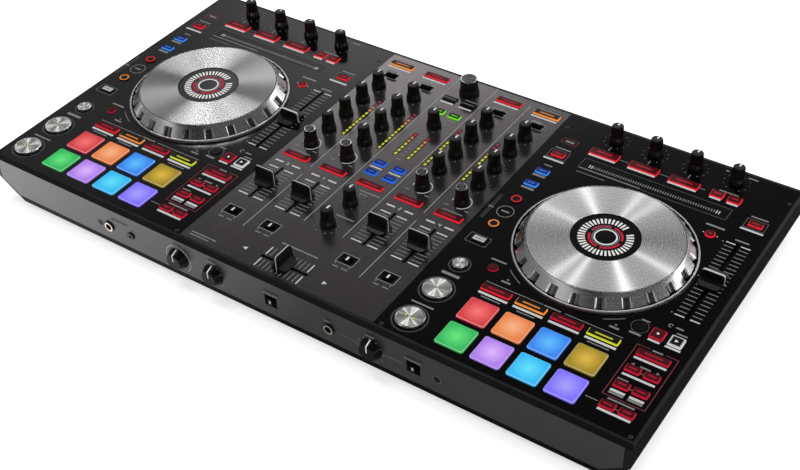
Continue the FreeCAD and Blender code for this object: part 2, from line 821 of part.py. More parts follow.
def panel(x0, x1, holes, round_holes):
    """One of the three sheets that the controls come through."""
    _, _, y0, y1 = panel_area()
    y0 += SEAT_CLEAR
    y1 -= SEAT_CLEAR
    outer = rounded_wire((x0 + x1) / 2, (y0 + y1) / 2, x1 - x0, y1 - y0, KEY_CORNER_R, WALL_TOP_Z)
    wires = [outline(spot, grow, WALL_TOP_Z, corner) for spot, grow, corner in holes]
    wires += [circle_wire(x, y, r, WALL_TOP_Z) for x, y, r in round_holes]
    return slab(outer, wires, PANEL_T)


def deck_panels():
    panels = []
    for side, cx in DECKS.items():
        outer_edge = CASE_W / 2 - RIM_W - SEAT_CLEAR
        inner_edge = MIXER_W / 2 + SEAT_CLEAR / 2
        x0, x1 = (-outer_edge, -inner_edge) if cx < 0 else (inner_edge, outer_edge)
        holes = deck_holes(cx) + [(strip_spot(cx), SEAT_CLEAR, KEY_CORNER_R), (adjust_spot(cx), KEY_CLEAR, 0)]
        rounds = [(cx, JOG_Y, JOG_FLANGE_R + SEAT_CLEAR)]
        rounds += [(x, y, PANEL_SCREW_HEAD_R + SCREW_CLEAR) for x, y in panel_screw_places(cx)]
        panels.append(panel(x0, x1, holes, rounds))
    return panels


def mixer_panel():
    half = MIXER_W / 2 - SEAT_CLEAR / 2
    windows = []
    for x in CHANNELS.values():
        windows.append(key_spot(x, ASSIGN_Y, SLIDE_WINDOW_W, SLIDE_WINDOW_D))
        windows.append(key_spot(x, SELECTOR_Y, SLIDE_WINDOW_W, SLIDE_WINDOW_D))
    holes = mixer_holes() + [(spot, 0, KEY_CORNER_R) for spot in windows]
    holes += [(spot, SEAT_CLEAR, KEY_CORNER_R) for spot in meter_spots()]
    return [panel(-half, half, holes, [])]


def front_fascia():
    plate = front_polygon(fascia_outline(0), 0, FASCIA_T)
    return [plate.cut(Part.makeCompound(front_openings(SWITCH_WINDOW_W, SWITCH_WINDOW_H)))]


def rear_socket_openings():
    """What passes through the rear panel."""
    tools = []
    y0, y1 = FLANGE_Y - 1, REAR_FACE_Y + 1
    for x, z in rca_places():
        tools.append(along_y(x, z, RCA_R + SEAT_CLEAR, y0, y1))
    for x in rear_jack_places():
        tools.append(along_y(x, REAR_LINE_Z, JACK_BARREL_R + SEAT_CLEAR, y0, y1))
    for x in xlr_places():
        tools.append(along_y(x, REAR_LINE_Z, XLR_R + SEAT_CLEAR, y0, y1))
    half_w = USB_W / 2 + SEAT_CLEAR
    for x in usb_places():
        low = FOOT_H + TRAY_T + STANDOFF_H + BOARD_T - SEAT_CLEAR
        tools.append(box(x - half_w, x + half_w, y0, y1, low, low + USB_H + 2 * SEAT_CLEAR))
    half = DC_BODY / 2 + SEAT_CLEAR
    tools.append(box(DC_X - half, DC_X + half, y0, y1, REAR_LINE_Z - half, REAR_LINE_Z + half))
    return tools


def tray_outline(inset, high):
    """Front view of the tray: a flat floor and slanted ends under the case's cut corners."""
    half = CASE_W / 2 - CASE_T - SEAT_CLEAR - inset
    lift = inset * math.hypot(1, CORNER_H / CORNER_W)
    corner = corner_points(half, lift, FOOT_H + inset)
    return mirrored([(half, high)] + corner)


def bottom_tray():
    """Folded sheet with low lips at the front and the sides, open at the back."""
    lip_top = tray_outline(0, 0)[1][1] + TRAY_LIP_H
    body = front_polygon(tray_outline(0, lip_top), TRAY_SETBACK, REAR_FACE_Y)
    room = front_polygon(tray_outline(TRAY_T, TOP_Z), TRAY_SETBACK + TRAY_T, REAR_FACE_Y + 1)
    under_wall = front_polygon(case_outline(SHADOW_GAP), -1, FRONT_WALL_T + SEAT_CLEAR)
    body = body.cut(Part.makeCompound([room, under_wall]))
    top = TRAY_FLOOR_Z + STANDOFF_H
    body = body.fuse([upright(x, y, STANDOFF_R, TRAY_FLOOR_Z, top) for x, y in standoff_places()])
    holes = [upright(x, y, SCREW_R + SCREW_CLEAR, FOOT_H - 1, TRAY_FLOOR_Z + 1) for x, y in post_places()]
    return [body.cut(Part.makeCompound(holes))]


def rear_panel():
    """The sheet that the rear sockets come through, standing in the open back of the tray."""
    plate = front_polygon(tray_outline(TRAY_T, FOOT_H + REAR_PANEL_H), FLANGE_Y, REAR_FACE_Y)
    return [plate.cut(Part.makeCompound(rear_socket_openings()))]


def feet_places():
    xs = [-CASE_W / 2 + FOOT_INSET_X, 0, CASE_W / 2 - FOOT_INSET_X]
    return [(x, y) for x in xs for y in (FOOT_INSET_Y, CASE_D - FOOT_INSET_Y)]


def rubber_feet():
    feet = []
    for x, y in feet_places():
        profile = [(0, 0), (FOOT_R - 1, 0), (FOOT_R, 1), (FOOT_R, FOOT_H), (0, FOOT_H)]
        feet.append(turned(profile, x, y))
    return feet


def screws():
    solids = []
    for x, y in post_places():
        head = upright(x, y, SCREW_HEAD_R, FOOT_H - SCREW_HEAD_H, FOOT_H)
        socket = upright(x, y, SCREW_R, FOOT_H - SCREW_HEAD_H - 1, FOOT_H - SCREW_HEAD_H / 2)
        shank = upright(x, y, SCREW_R, FOOT_H, TRAY_FLOOR_Z + SCREW_L - 1)
        solids.append(head.cut(socket).fuse(shank))
    for cx in DECKS.values():
        for x, y in panel_screw_places(cx):
            head = upright(x, y, PANEL_SCREW_HEAD_R, WALL_TOP_Z, WALL_TOP_Z + PANEL_SCREW_HEAD_H)
            cross = box(x - SCREW_CROSS_L / 2, x + SCREW_CROSS_L / 2,
                        y - SCREW_CROSS_W / 2, y + SCREW_CROSS_W / 2,
                        WALL_TOP_Z + PANEL_SCREW_HEAD_H / 2, TOP_Z)
            shank = upright(x, y, PANEL_SCREW_R, WALL_TOP_Z - PANEL_SCREW_L, WALL_TOP_Z)
            solids.append(head.cut(cross).fuse(shank))
    return solids


# Electronics inside


def standoff_places():
    half = MAIN_BOARD_W / 2 - STANDOFF_INSET
    back = FLANGE_Y - RUN_GAP
    ys = [back - MAIN_BOARD_D + STANDOFF_INSET, back - STANDOFF_INSET - POST_R]
    return [(side * half, y) for side in (-1, 1) for y in ys]


def post_clearance(low, high):
    """Room for the screw posts where they pass a board."""
    r = POST_R + HOLE_CLEAR
    return Part.makeCompound([upright(x, y, r, low - 1, high + 1) for x, y in post_places()])


def circuit_boards():
    """A board under each deck and the mixer, and the main board on the tray's standoffs."""
    low = BOARD_TOP_Z - BOARD_T
    front = FRONT_WALL_T + BOARD_MARGIN / 3
    half = DECK_W / 2 - BOARD_MARGIN
    back = FLANGE_Y - BOARD_MARGIN
    boards = [box(cx - half, cx + half, front, back, low, BOARD_TOP_Z) for cx in DECKS.values()]
    half = MIXER_W / 2 - BOARD_MARGIN / 2
    boards.append(box(-half, half, front, back, low, BOARD_TOP_Z))
    boards = [board.cut(post_clearance(low, BOARD_TOP_Z)) for board in boards]
    back = FLANGE_Y - RUN_GAP
    low = TRAY_FLOOR_Z + STANDOFF_H
    main = box(-MAIN_BOARD_W / 2, MAIN_BOARD_W / 2, back - MAIN_BOARD_D, back, low, low + BOARD_T)
    boards.append(main.cut(post_clearance(low, low + BOARD_T)))
    return boards


def pot_body(x, y):
    body = box(x - POT_W / 2, x + POT_W / 2, y - POT_D / 2, y + POT_D / 2, BOARD_TOP_Z, WALL_UNDER_Z)
    floor = BOARD_TOP_Z + SHAFT_LIFT - RUN_GAP
    return body.cut(upright(x, y, SHAFT_R + SHAFT_CLEAR, floor, WALL_UNDER_Z + 1))


def front_pot_body(x):
    half = FRONT_POT / 2
    y1 = FRONT_WALL_T + FRONT_POT_L
    body = box(x - half, x + half, FRONT_WALL_T, y1, FRONT_LINE_Z - half, FRONT_LINE_Z + half)
    end = y1 - SHAFT_LIFT + RUN_GAP
    return body.cut(along_y(x, FRONT_LINE_Z, SHAFT_R + SHAFT_CLEAR, FRONT_WALL_T - 1, end))


def track(x, y, travel, sideways=False):
    """A fader's metal channel, open along its top."""
    length = travel + CARRIAGE_L + 2 * TRACK_END
    cavity_l = travel + CARRIAGE_L + SLOT_END_CLEAR
    cavity_w = TRACK_W - 2 * TRACK_WALL
    roof = WALL_UNDER_Z - TRACK_WALL
    floor = BOARD_TOP_Z + TRACK_WALL
    body = box(-TRACK_W / 2, TRACK_W / 2, -length / 2, length / 2, BOARD_TOP_Z, WALL_UNDER_Z)
    cavity = box(-cavity_w / 2, cavity_w / 2, -cavity_l / 2, cavity_l / 2, floor, roof)
    slot = raised(slot_spot(0, 0, travel), 0, floor + 1, WALL_UNDER_Z + 1)
    body = body.cut(cavity.fuse(slot))
    if sideways:
        body.rotate(vector(0, 0, 0), vector(0, 0, 1), 90)
    return at(body, x, y)


def key_switch(spot):
    half = min(SWITCH_BODY, spot.w, spot.h) / 2
    top = WALL_UNDER_Z - FLANGE_T - KEY_TRAVEL - SWITCH_GAP
    return box(spot.x - half, spot.x + half, spot.y - half, spot.y + half, BOARD_TOP_Z, top)


def all_keys():
    spots = mixer_key_spots()
    for cx in DECKS.values():
        spots += deck_key_spots(cx)
    return spots


def control_bodies():
    bodies = [pot_body(x, y) for x, y in upright_knob_places()]
    bodies += [front_pot_body(x) for _, x in front_knobs()]
    bodies += [track(x, FADER_Y, FADER_TRAVEL) for x in CHANNELS.values()]
    bodies.append(track(0, CROSS_Y, CROSS_TRAVEL, True))
    pressed = all_keys()
    for cx in DECKS.values():
        bodies.append(track(*tempo_place(cx), TEMPO_TRAVEL))
        pressed += pad_spots(cx) + transport_spots(cx)
    bodies += [key_switch(spot) for spot in pressed]
    return bodies


# Sockets


def rca_places():
    return [(RCA_FIRST_X + i * RCA_PITCH_X, REAR_LINE_Z + side * RCA_PITCH_Z / 2)
            for i in range(RCA_PAIRS) for side in (-1, 1)]


def rear_jack_places():
    booth = [BOOTH_FIRST_X + i * BOOTH_PITCH for i in range(2)]
    return booth + [REAR_MIC_X + i * REAR_MIC_PITCH for i in range(2)]


def xlr_places():
    return [XLR_FIRST_X + i * XLR_PITCH for i in range(2)]


def usb_places():
    return [USB_FIRST_X + i * USB_PITCH for i in range(2)]


def front_jack(x, bore, barrel, depth, body_w, body_h):
    z = FRONT_LINE_Z
    solid = along_y(x, z, barrel + JACK_NUT_WALL, -JACK_NUT_T, 0)
    solid = solid.fuse(along_y(x, z, barrel, 0, FRONT_WALL_T))
    end = depth + SOCKET_LIP
    body = box(x - body_w / 2, x + body_w / 2, FRONT_WALL_T, end, z - body_h / 2, z + body_h / 2)
    return solid.fuse(body).cut(along_y(x, z, bore, -JACK_NUT_T - 1, depth))


def rear_jack(x):
    z = REAR_LINE_Z
    tip = REAR_FACE_Y + SOCKET_REACH
    solid = along_y(x, z, JACK_BARREL_R, FLANGE_Y, REAR_FACE_Y)
    solid = solid.fuse(along_y(x, z, JACK_BARREL_R + SOCKET_LIP, REAR_FACE_Y, tip))
    half = JACK_BODY_W / 2
    back = FLANGE_Y - JACK_DEPTH + SOCKET_REACH
    solid = solid.fuse(box(x - half, x + half, back, FLANGE_Y, z - JACK_BODY_H / 2, z + JACK_BODY_H / 2))
    return solid.cut(along_y(x, z, JACK_R, tip - JACK_DEPTH, tip + 1))


def rca_socket(x, z):
    tip = CASE_D + REAR_REACH
    solid = along_y(x, z, RCA_R, FLANGE_Y - RCA_TAIL, tip)
    solid = solid.fuse(along_y(x, z, RCA_FLANGE_R, REAR_FACE_Y, REAR_FACE_Y + RCA_FLANGE_T))
    return solid.cut(along_y(x, z, RCA_PIN_R, tip - RCA_TAIL, tip + 1))


def xlr_socket(x):
    z = REAR_LINE_Z
    tip = REAR_FACE_Y + SOCKET_REACH
    floor = tip - XLR_DEPTH
    solid = along_y(x, z, XLR_R, floor - XLR_BACK_T, tip - XLR_STEP)
    solid = solid.fuse(along_y(x, z, XLR_R + SOCKET_LIP, REAR_FACE_Y, tip))
    solid = solid.cut(along_y(x, z, XLR_CAVITY_R, floor, tip + 1))
    for angle in (-30, 90, 210):
        px = x + XLR_PIN_CIRCLE_R * math.cos(math.radians(angle))
        pz = z + XLR_PIN_CIRCLE_R * math.sin(math.radians(angle))
        solid = solid.fuse(along_y(px, pz, XLR_PIN_R, floor, floor + XLR_PIN_L))
    return solid


def usb_socket(x):
    low = TRAY_FLOOR_Z + STANDOFF_H + BOARD_T
    middle = low + USB_H / 2
    tip = REAR_FACE_Y + USB_REACH
    half = USB_W / 2
    solid = box(x - half, x + half, tip - USB_BODY_L, tip, low, low + USB_H)
    inner = half - USB_WALL
    cavity = box(x - inner, x + inner, tip - USB_DEPTH, tip + 1, low + USB_WALL, low + USB_H - USB_WALL)
    tongue = box(x - USB_TONGUE_W / 2, x + USB_TONGUE_W / 2, tip - USB_DEPTH, tip - USB_DEPTH + USB_TONGUE_L,
                 middle - USB_TONGUE_T / 2, middle + USB_TONGUE_T / 2)
    return solid.cut(cavity).fuse(tongue)


def dc_inlet():
    z = REAR_LINE_Z
    tip = REAR_FACE_Y + DC_REACH
    half = DC_BODY / 2
    solid = box(DC_X - half, DC_X + half, tip - DC_BODY_L, tip, z - half, z + half)
    solid = solid.cut(along_y(DC_X, z, DC_R, tip - DC_DEPTH, tip + 1))
    return solid.fuse(along_y(DC_X, z, DC_PIN_R, tip - DC_DEPTH, tip - DC_DEPTH + DC_PIN_L))


def sockets():
    solids = [front_jack(x, JACK_R, JACK_BARREL_R, JACK_DEPTH, JACK_BODY_W, JACK_BODY_H)
              for x in (PHONES_X, MIC_X)]
    solids.append(front_jack(MINI_PHONES_X, MINI_JACK_R, MINI_BARREL_R, MINI_DEPTH, MINI_BODY_W, MINI_BODY_H))
    solids += [rear_jack(x) for x in rear_jack_places()]
    solids += [rca_socket(x, z) for x, z in rca_places()]
    solids += [xlr_socket(x) for x in xlr_places()]
    solids += [usb_socket(x) for x in usb_places()]
    solids.append(dc_inlet())
    return solids


# Knobs, wheels and faders


def star_wire(r, z):
    """The outline of a ribbed barrel."""
    points = []
    for i in range(2 * RIB_COUNT):
        reach = r - RIB_DEPTH * (i % 2)
        angle = math.pi * i / RIB_COUNT
        points.append(vector(reach * math.cos(angle), reach * math.sin(angle), z))
    return Part.makePolygon(points + points[:1])


def knob_body(radius, top_r, height):
    """Skirted knob with a ribbed barrel and a pointer groove, standing on its own shaft."""
    low = TOP_Z + KNOB_LIFT
    high = TOP_Z + height
    waist = low + KNOB_WAIST_H
    end = BOARD_TOP_Z + SHAFT_LIFT
    core = top_r - 2 * RIB_DEPTH
    foot = top_r + KNOB_TAPER
    profile = [(0, end), (SHAFT_R, end), (SHAFT_R, low), (radius - EDGE_BEVEL, low),
               (radius, low + 2 * EDGE_BEVEL), (radius - SKIRT_TAPER, low + KNOB_SKIRT_H),
               (foot + WAIST_LEDGE, waist), (core, waist),
               (core, high - TOP_BEVEL / 2), (core - TOP_BEVEL / 2, high), (0, high)]
    wires = [star_wire(foot, waist), star_wire(top_r, high - TOP_BEVEL)]
    solid = turned(profile, 0, 0).fuse(Part.makeLoft(wires, True, True))
    start = top_r * POINTER_START
    groove = box(-POINTER_W / 2, POINTER_W / 2, start, top_r + 1, high - POINTER_DEPTH, high + 1)
    return solid.cut(groove)


def front_knob(x):
    tip = -FRONT_KNOB_REACH
    end = FRONT_WALL_T + FRONT_POT_L - SHAFT_LIFT
    profile = [(0, tip), (FRONT_KNOB_TOP_R - TOP_BEVEL, tip), (FRONT_KNOB_TOP_R, tip + TOP_BEVEL),
               (FRONT_KNOB_R, -KNOB_LIFT), (SHAFT_R, -KNOB_LIFT), (SHAFT_R, end), (0, end)]
    corners = [vector(r, y, 0) for r, y in profile]
    face = Part.Face(Part.makePolygon(corners + corners[:1]))
    solid = face.revolve(vector(0, 0, 0), vector(0, 1, 0), 360)
    solid.translate(vector(x, 0, FRONT_LINE_Z))
    groove = box(x - POINTER_W / 2, x + POINTER_W / 2, tip - 1, tip + POINTER_DEPTH,
                 FRONT_LINE_Z + FRONT_KNOB_TOP_R * POINTER_START, FRONT_LINE_Z + FRONT_KNOB_R + 1)
    return solid.cut(groove)


def jog_wheel():
    """Platter with a scalloped skirt, turning on the hub's post by its sleeve."""
    base = TOP_Z + JOG_LIFT
    top = TOP_Z + JOG_TOP
    shoulder = top - JOG_SHOULDER_DROP
    head_low = top - JOG_HUB_SINK - JOG_HUB_T
    web_top = head_low - JOG_HUB_GAP
    bore = JOG_POST_R + SHAFT_CLEAR
    sleeve = bore + JOG_SLEEVE_T
    inner = JOG_HUB_R + JOG_HUB_GAP
    sleeve_low = TOP_Z + JOG_FLANGE_RISE + RUN_GAP
    profile = [
        (JOG_SKIRT_R, base), (JOG_SKIRT_R, base + JOG_RIM_H), (JOG_DISC_R + JOG_SHOULDER_W, shoulder),
        (JOG_DISC_R, top), (inner, top), (inner, web_top), (bore, web_top), (bore, sleeve_low),
        (sleeve, sleeve_low), (sleeve, web_top - JOG_SHELL),
        (JOG_DISC_R - JOG_SHELL, top - 2 * JOG_SHELL + 1), (JOG_SKIRT_R - JOG_SHELL, base),
    ]
    wheel = turned(profile, 0, 0)
    run = JOG_SKIRT_R - JOG_DISC_R - JOG_SHOULDER_W
    rise = shoulder - base - JOG_RIM_H
    length = math.hypot(run, rise)
    tool = Part.makeCylinder(SCALLOP_R, 2 * length, vector(0, 0, -2 * length - SCALLOP_TOP_GAP))
    tool.rotate(vector(0, 0, 0), vector(0, 1, 0), -math.degrees(math.atan2(run, rise)))
    lift = SCALLOP_R - SCALLOP_DEPTH
    start = JOG_DISC_R + JOG_SHOULDER_W
    tool.translate(vector(start + lift * rise / length, 0, shoulder + lift * run / length))
    tools = []
    for i in range(SCALLOP_COUNT):
        copy = tool.copy()
        copy.rotate(vector(0, 0, 0), vector(0, 0, 1), 360.0 * i / SCALLOP_COUNT)
        tools.append(copy)
    return wheel.cut(Part.makeCompound(tools))


def jog_hubs():
    """The fixed post and display under each wheel's centre, and the ring around the wheel."""
    solids = []
    for cx in DECKS.values():
        top = TOP_Z + JOG_TOP - JOG_HUB_SINK
        low = top - JOG_HUB_T
        profile = [(0, WALL_TOP_Z), (JOG_FLANGE_R, WALL_TOP_Z), (JOG_FLANGE_R, TOP_Z + JOG_FLANGE_RISE),
                   (JOG_POST_R, TOP_Z + JOG_FLANGE_RISE), (JOG_POST_R, low), (JOG_HUB_R, low),
                   (JOG_HUB_R, top - EDGE_BEVEL), (JOG_HUB_R - EDGE_BEVEL, top), (0, top)]
        solids.append(turned(profile, cx, JOG_Y))
        crown = JOG_RING_W / 2
        ring = [(JOG_RING_R - JOG_RING_W, TOP_Z), (JOG_RING_R, TOP_Z)]
        for i in range(JOG_RING_STEPS + 1):
            angle = math.pi * i / JOG_RING_STEPS
            ring.append((JOG_RING_R - crown + crown * math.cos(angle),
                         TOP_Z + JOG_RING_H - crown + crown * math.sin(angle)))
        solids.append(turned(ring, cx, JOG_Y))
    return solids


def adjust_knob(cx):
    """The small dark knob beside the wheel that sets its feel."""
    spot = adjust_spot(cx)
    r = ADJUST_KNOB_D / 2
    profile = [(0, BOARD_TOP_Z), (SHAFT_R, BOARD_TOP_Z), (SHAFT_R, WALL_TOP_Z), (r, WALL_TOP_Z),
               (r, TOP_Z + KEY_RISE - EDGE_BEVEL), (r - EDGE_BEVEL, TOP_Z + KEY_RISE), (0, TOP_Z + KEY_RISE)]
    return turned(profile, spot.x, spot.y)


def lenses():
    """Lenses of the touch strips and level meters, and the set knobs beside the jog wheels."""
    spots = meter_spots() + [strip_spot(cx) for cx in DECKS.values()]
    return [raised(spot, 0, WALL_TOP_Z, TOP_Z) for spot in spots] + [adjust_knob(cx) for cx in DECKS.values()]


def cap(height, length, sideways=False):
    """Fader cap: a thin fin across a long foot, with its stem and carriage below."""
    low = TOP_Z + CAP_LIFT
    high = TOP_Z + height
    rim = low + CAP_RIM
    knee = low + (height - CAP_LIFT) / 3
    half_l = length / 2
    foot = CAP_FIN_FOOT / 2
    top = CAP_FIN_TOP / 2
    right = [(half_l, low), (half_l, rim), (half_l * CAP_STEP, rim + CAP_RIM), (foot, knee), (top, high)]
    profile = right + [(-y, z) for y, z in reversed(right)]
    corners = [vector(-CAP_W / 2, y, z) for y, z in profile]
    solid = Part.Face(Part.makePolygon(corners + corners[:1])).extrude(vector(CAP_W, 0, 0))
    upper = [e for e in solid.Edges if abs(e.BoundBox.XLength) < 1e-6 and e.BoundBox.ZMin > high - 1e-4]
    solid = solid.makeFillet(CAP_CORNER_R, upper)
    solid = solid.common(raised(key_spot(0, 0, CAP_W, length), 0, low - 1, high + 1, CAP_PLAN_R))
    floor = BOARD_TOP_Z + TRACK_WALL + RUN_GAP
    roof = WALL_UNDER_Z - TRACK_WALL - RUN_GAP
    half_c = TRACK_W / 2 - TRACK_WALL - RUN_GAP
    stem = box(-STEM_T / 2, STEM_T / 2, -STEM_L / 2, STEM_L / 2, roof, low)
    carriage = box(-half_c, half_c, -CARRIAGE_L / 2, CARRIAGE_L / 2, floor, roof)
    solid = solid.fuse([stem, carriage])
    if sideways:
        solid.rotate(vector(0, 0, 0), vector(0, 0, 1), 90)
    return solid


def button(spot, rise, corner):
    """A key held under the case's top wall by the flange around its foot."""
    body = raised(spot, 0, WALL_UNDER_Z - FLANGE_T, TOP_Z + rise, corner)
    body = bevelled_top(body, TOP_BEVEL)
    return body.fuse(raised(spot, KEY_FLANGE, WALL_UNDER_Z - FLANGE_T, WALL_UNDER_Z, corner))


def buttons(spots, rise, corner=KEY_CORNER_R):
    """Keys of one kind: each size is made once and then copied to its places."""
    made = {}
    solids = []
    for spot in spots:
        size = (spot.w, spot.h, spot.round)
        if size not in made:
            made[size] = button(Spot(0, 0, *size), rise, corner)
        solids.append(at(made[size], spot.x, spot.y))
    return solids


def slide_lever(x, y):
    base_half = LEVER_W / 2 + 2 * SLIDE_TRAVEL + SLIDE_BASE_OVERLAP
    base = box(x - base_half, x + base_half, y - SLIDE_BASE_D / 2, y + SLIDE_BASE_D / 2,
               WALL_UNDER_Z - FLANGE_T, WALL_UNDER_Z)
    lever = box(x - LEVER_W / 2, x + LEVER_W / 2, y - LEVER_D / 2, y + LEVER_D / 2,
                WALL_UNDER_Z, TOP_Z + LEVER_RISE)
    return base.fuse(lever)


def front_slide_lever(x):
    z = FRONT_LINE_Z
    base_half = LEVER_W / 2 + 2 * SLIDE_TRAVEL + SLIDE_BASE_OVERLAP
    base = box(x - base_half, x + base_half, FRONT_WALL_T, FRONT_WALL_T + FLANGE_T,
               z - SLIDE_BASE_D / 2, z + SLIDE_BASE_D / 2)
    lever = box(x - LEVER_W / 2, x + LEVER_W / 2, -LEVER_RISE, FRONT_WALL_T, z - LEVER_D / 2, z + LEVER_D / 2)
    return base.fuse(lever)


def selector(x, y):
    """The slide with a raised grip in the window behind each trim knob."""
    low = WALL_TOP_Z + CAP_LIFT
    grip = box(x - SELECTOR_W / 2, x + SELECTOR_W / 2, y - SELECTOR_D / 2, y + SELECTOR_D / 2,
               low, TOP_Z + SELECTOR_H)
    grip = bevelled_top(grip, 2 * TOP_BEVEL)
    stem = box(x - SELECTOR_STEM_W / 2, x + SELECTOR_STEM_W / 2, y - STEM_T / 2, y + STEM_T / 2,
               WALL_UNDER_Z, low)
    half = SELECTOR_STEM_W / 2 + 2 * SLIDE_TRAVEL + SLIDE_BASE_OVERLAP
    base = box(x - half, x + half, y - SELECTOR_D / 2, y + SELECTOR_D / 2,
               WALL_UNDER_Z - FLANGE_T, WALL_UNDER_Z)
    return grip.fuse([stem, base])


def slide_switches():
    solids = []
    for x in CHANNELS.values():
        solids.append(slide_lever(x, ASSIGN_Y))
        solids.append(selector(x, SELECTOR_Y))
    return solids + [front_slide_lever(x) for x in (CURVE_SWITCH_X, MIC_SWITCH_X)]


def save_knobs():
    made = {}
    for name, x, y, height in channel_knobs() + centre_knobs() + effect_knobs():
        if height not in made:
            made[height] = knob_body(KNOB_R, KNOB_TOP_R, height)
        save(name, [at(made[height], x, y)])
    save("browse_knob", [at(knob_body(BROWSE_KNOB_R, BROWSE_KNOB_TOP_R, BROWSE_KNOB_H), *BROWSE_PLACE)])
    for name, x in front_knobs():
        save(name, [front_knob(x)])


def save_faders():
    tempo_cap = cap(TEMPO_CAP_H, TEMPO_CAP_L)
    for side, cx in DECKS.items():
        save("tempo_fader_%s" % side, [at(tempo_cap, *tempo_place(cx))])
    channel_cap = cap(CAP_H, CAP_L)
    for number, x in CHANNELS.items():
        save("channel_fader_%d" % number, [at(channel_cap, x, FADER_Y)])
    save("crossfader", [at(cap(CAP_H, CAP_L, True), 0, CROSS_Y)])


def save_keys():
    pads = [spot for cx in DECKS.values() for spot in pad_spots(cx)]
    save("performance_pads", buttons(pads, PAD_RISE, PAD_CORNER_R))
    transport = [spot for cx in DECKS.values() for spot in transport_spots(cx)]
    save("transport_buttons", buttons(transport, TRANSPORT_RISE))
    save("push_keys", buttons(all_keys(), KEY_RISE))
    save("slide_switches", slide_switches())


def build():
    os.makedirs("parts", exist_ok=True)
    save("upper_case", upper_case())
    save("bottom_tray", bottom_tray())
    save("rear_panel", rear_panel())
    save("deck_panels", deck_panels())
    save("mixer_panel", mixer_panel())
    save("front_fascia", front_fascia())
    save("rubber_feet", rubber_feet())
    save("screws", screws())
    save("circuit_boards", circuit_boards() + control_bodies())
    save("sockets", sockets())
    save("jog_hubs", jog_hubs())
    save("lenses", lenses())
    wheel = jog_wheel()
    for side, cx in DECKS.items():
        save("jog_wheel_%s" % side, [at(wheel, cx, JOG_Y)])
    save_knobs()
    save_faders()
    save_keys()


build()
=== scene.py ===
import math

import bmesh
import bpy
import numpy as np
from mathutils import Matrix, Vector


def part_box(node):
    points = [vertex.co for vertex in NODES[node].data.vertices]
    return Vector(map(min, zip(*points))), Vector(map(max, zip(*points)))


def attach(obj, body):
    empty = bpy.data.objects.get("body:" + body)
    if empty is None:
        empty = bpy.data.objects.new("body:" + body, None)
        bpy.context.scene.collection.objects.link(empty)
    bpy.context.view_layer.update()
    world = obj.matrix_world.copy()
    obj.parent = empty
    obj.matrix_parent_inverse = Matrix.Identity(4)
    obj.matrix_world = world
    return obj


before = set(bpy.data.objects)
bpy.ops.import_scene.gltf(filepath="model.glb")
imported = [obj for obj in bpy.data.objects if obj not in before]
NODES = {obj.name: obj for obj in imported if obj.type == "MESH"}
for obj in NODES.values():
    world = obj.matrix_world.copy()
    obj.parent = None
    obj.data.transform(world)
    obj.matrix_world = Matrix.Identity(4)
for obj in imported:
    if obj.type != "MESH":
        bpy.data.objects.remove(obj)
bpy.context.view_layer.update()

MM = 0.001
TAU = 2 * math.pi
FRONT_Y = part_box("upper_case")[0].y

# Places are in millimetres: x from the centre line, y from the front face, z above the floor.


def to_mm(spot):
    """A point of the frame, in millimetres."""
    return np.array([spot[0], spot[1] - FRONT_Y, spot[2]]) / MM


def place(x, y, z):
    """The point of the frame at these millimetres."""
    return Vector((x * MM, FRONT_Y + y * MM, z * MM))


def centre(node):
    """The middle of a node's box."""
    low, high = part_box(node)
    return to_mm((low + high) / 2)


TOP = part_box("deck_panels")[1].z / MM
MIXER_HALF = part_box("mixer_panel")[1].x / MM
DECK_X = {side: centre("jog_wheel_" + side)[0] for side in ("left", "right")}
WHEEL_Y = centre("jog_wheel_right")[1]


def from_wheel(x):
    """How far to the right of its wheel's middle a place on a deck is."""
    return x - DECK_X["left" if x < 0 else "right"]


# Shader nodes

WHITE = (1.0, 1.0, 1.0, 1.0)
NOISE_RANGE = (0.3, 0.7)


def add(tree, kind, inputs=None, **settings):
    """A shader node with its settings, and its inputs set or linked."""
    node = tree.nodes.new("ShaderNode" + kind)
    for key, value in settings.items():
        setattr(node, key, value)
    for key, value in (inputs or {}).items():
        if isinstance(value, bpy.types.NodeSocket):
            tree.links.new(value, node.inputs[key])
        else:
            node.inputs[key].default_value = value
    return node


def link(tree, bsdf, sources):
    for key, source in sources.items():
        tree.links.new(source, bsdf.inputs[key])


def mix_colour(tree, factor, a, b):
    return add(tree, "Mix", {0: factor, 6: a, 7: b}, data_type="RGBA").outputs[2]


def maths(tree, operation, a, b=0.0):
    return add(tree, "Math", {0: a, 1: b}, operation=operation).outputs[0]


def vector_maths(tree, operation, a, b=(0.0, 0.0, 0.0), output="Vector"):
    return add(tree, "VectorMath", {0: a, 1: b}, operation=operation).outputs[output]


def rescale(tree, value, a0, a1, b0, b1):
    inputs = {"Value": value, "From Min": a0, "From Max": a1, "To Min": b0, "To Max": b1}
    return add(tree, "MapRange", inputs).outputs[0]


def spread(tree, value, low=0.0, high=1.0):
    """A noise value, stretched from low to high."""
    return rescale(tree, value, *NOISE_RANGE, low, high)


def times(tree, a, b):
    return maths(tree, "MULTIPLY", a, b)


def blend(tree, a, b, share):
    return maths(tree, "ADD", times(tree, a, share), times(tree, b, 1.0 - share))


def coordinates(tree, kind="Object"):
    return add(tree, "TexCoord").outputs[kind]


def noise(tree, vector, scale, detail=3.0):
    return add(tree, "TexNoise", {"Vector": vector, "Scale": scale, "Detail": detail}).outputs[0]


def radius_of(tree, vector):
    """How far a vector reaches from the upright axis."""
    flat = vector_maths(tree, "MULTIPLY", vector, (1.0, 1.0, 0.0))
    return vector_maths(tree, "LENGTH", flat, output="Value")


def facing_up(tree):
    """1 on a level top, 0 on an upright side."""
    normal = add(tree, "NewGeometry").outputs["Normal"]
    return add(tree, "SeparateXYZ", {0: normal}).outputs[2]


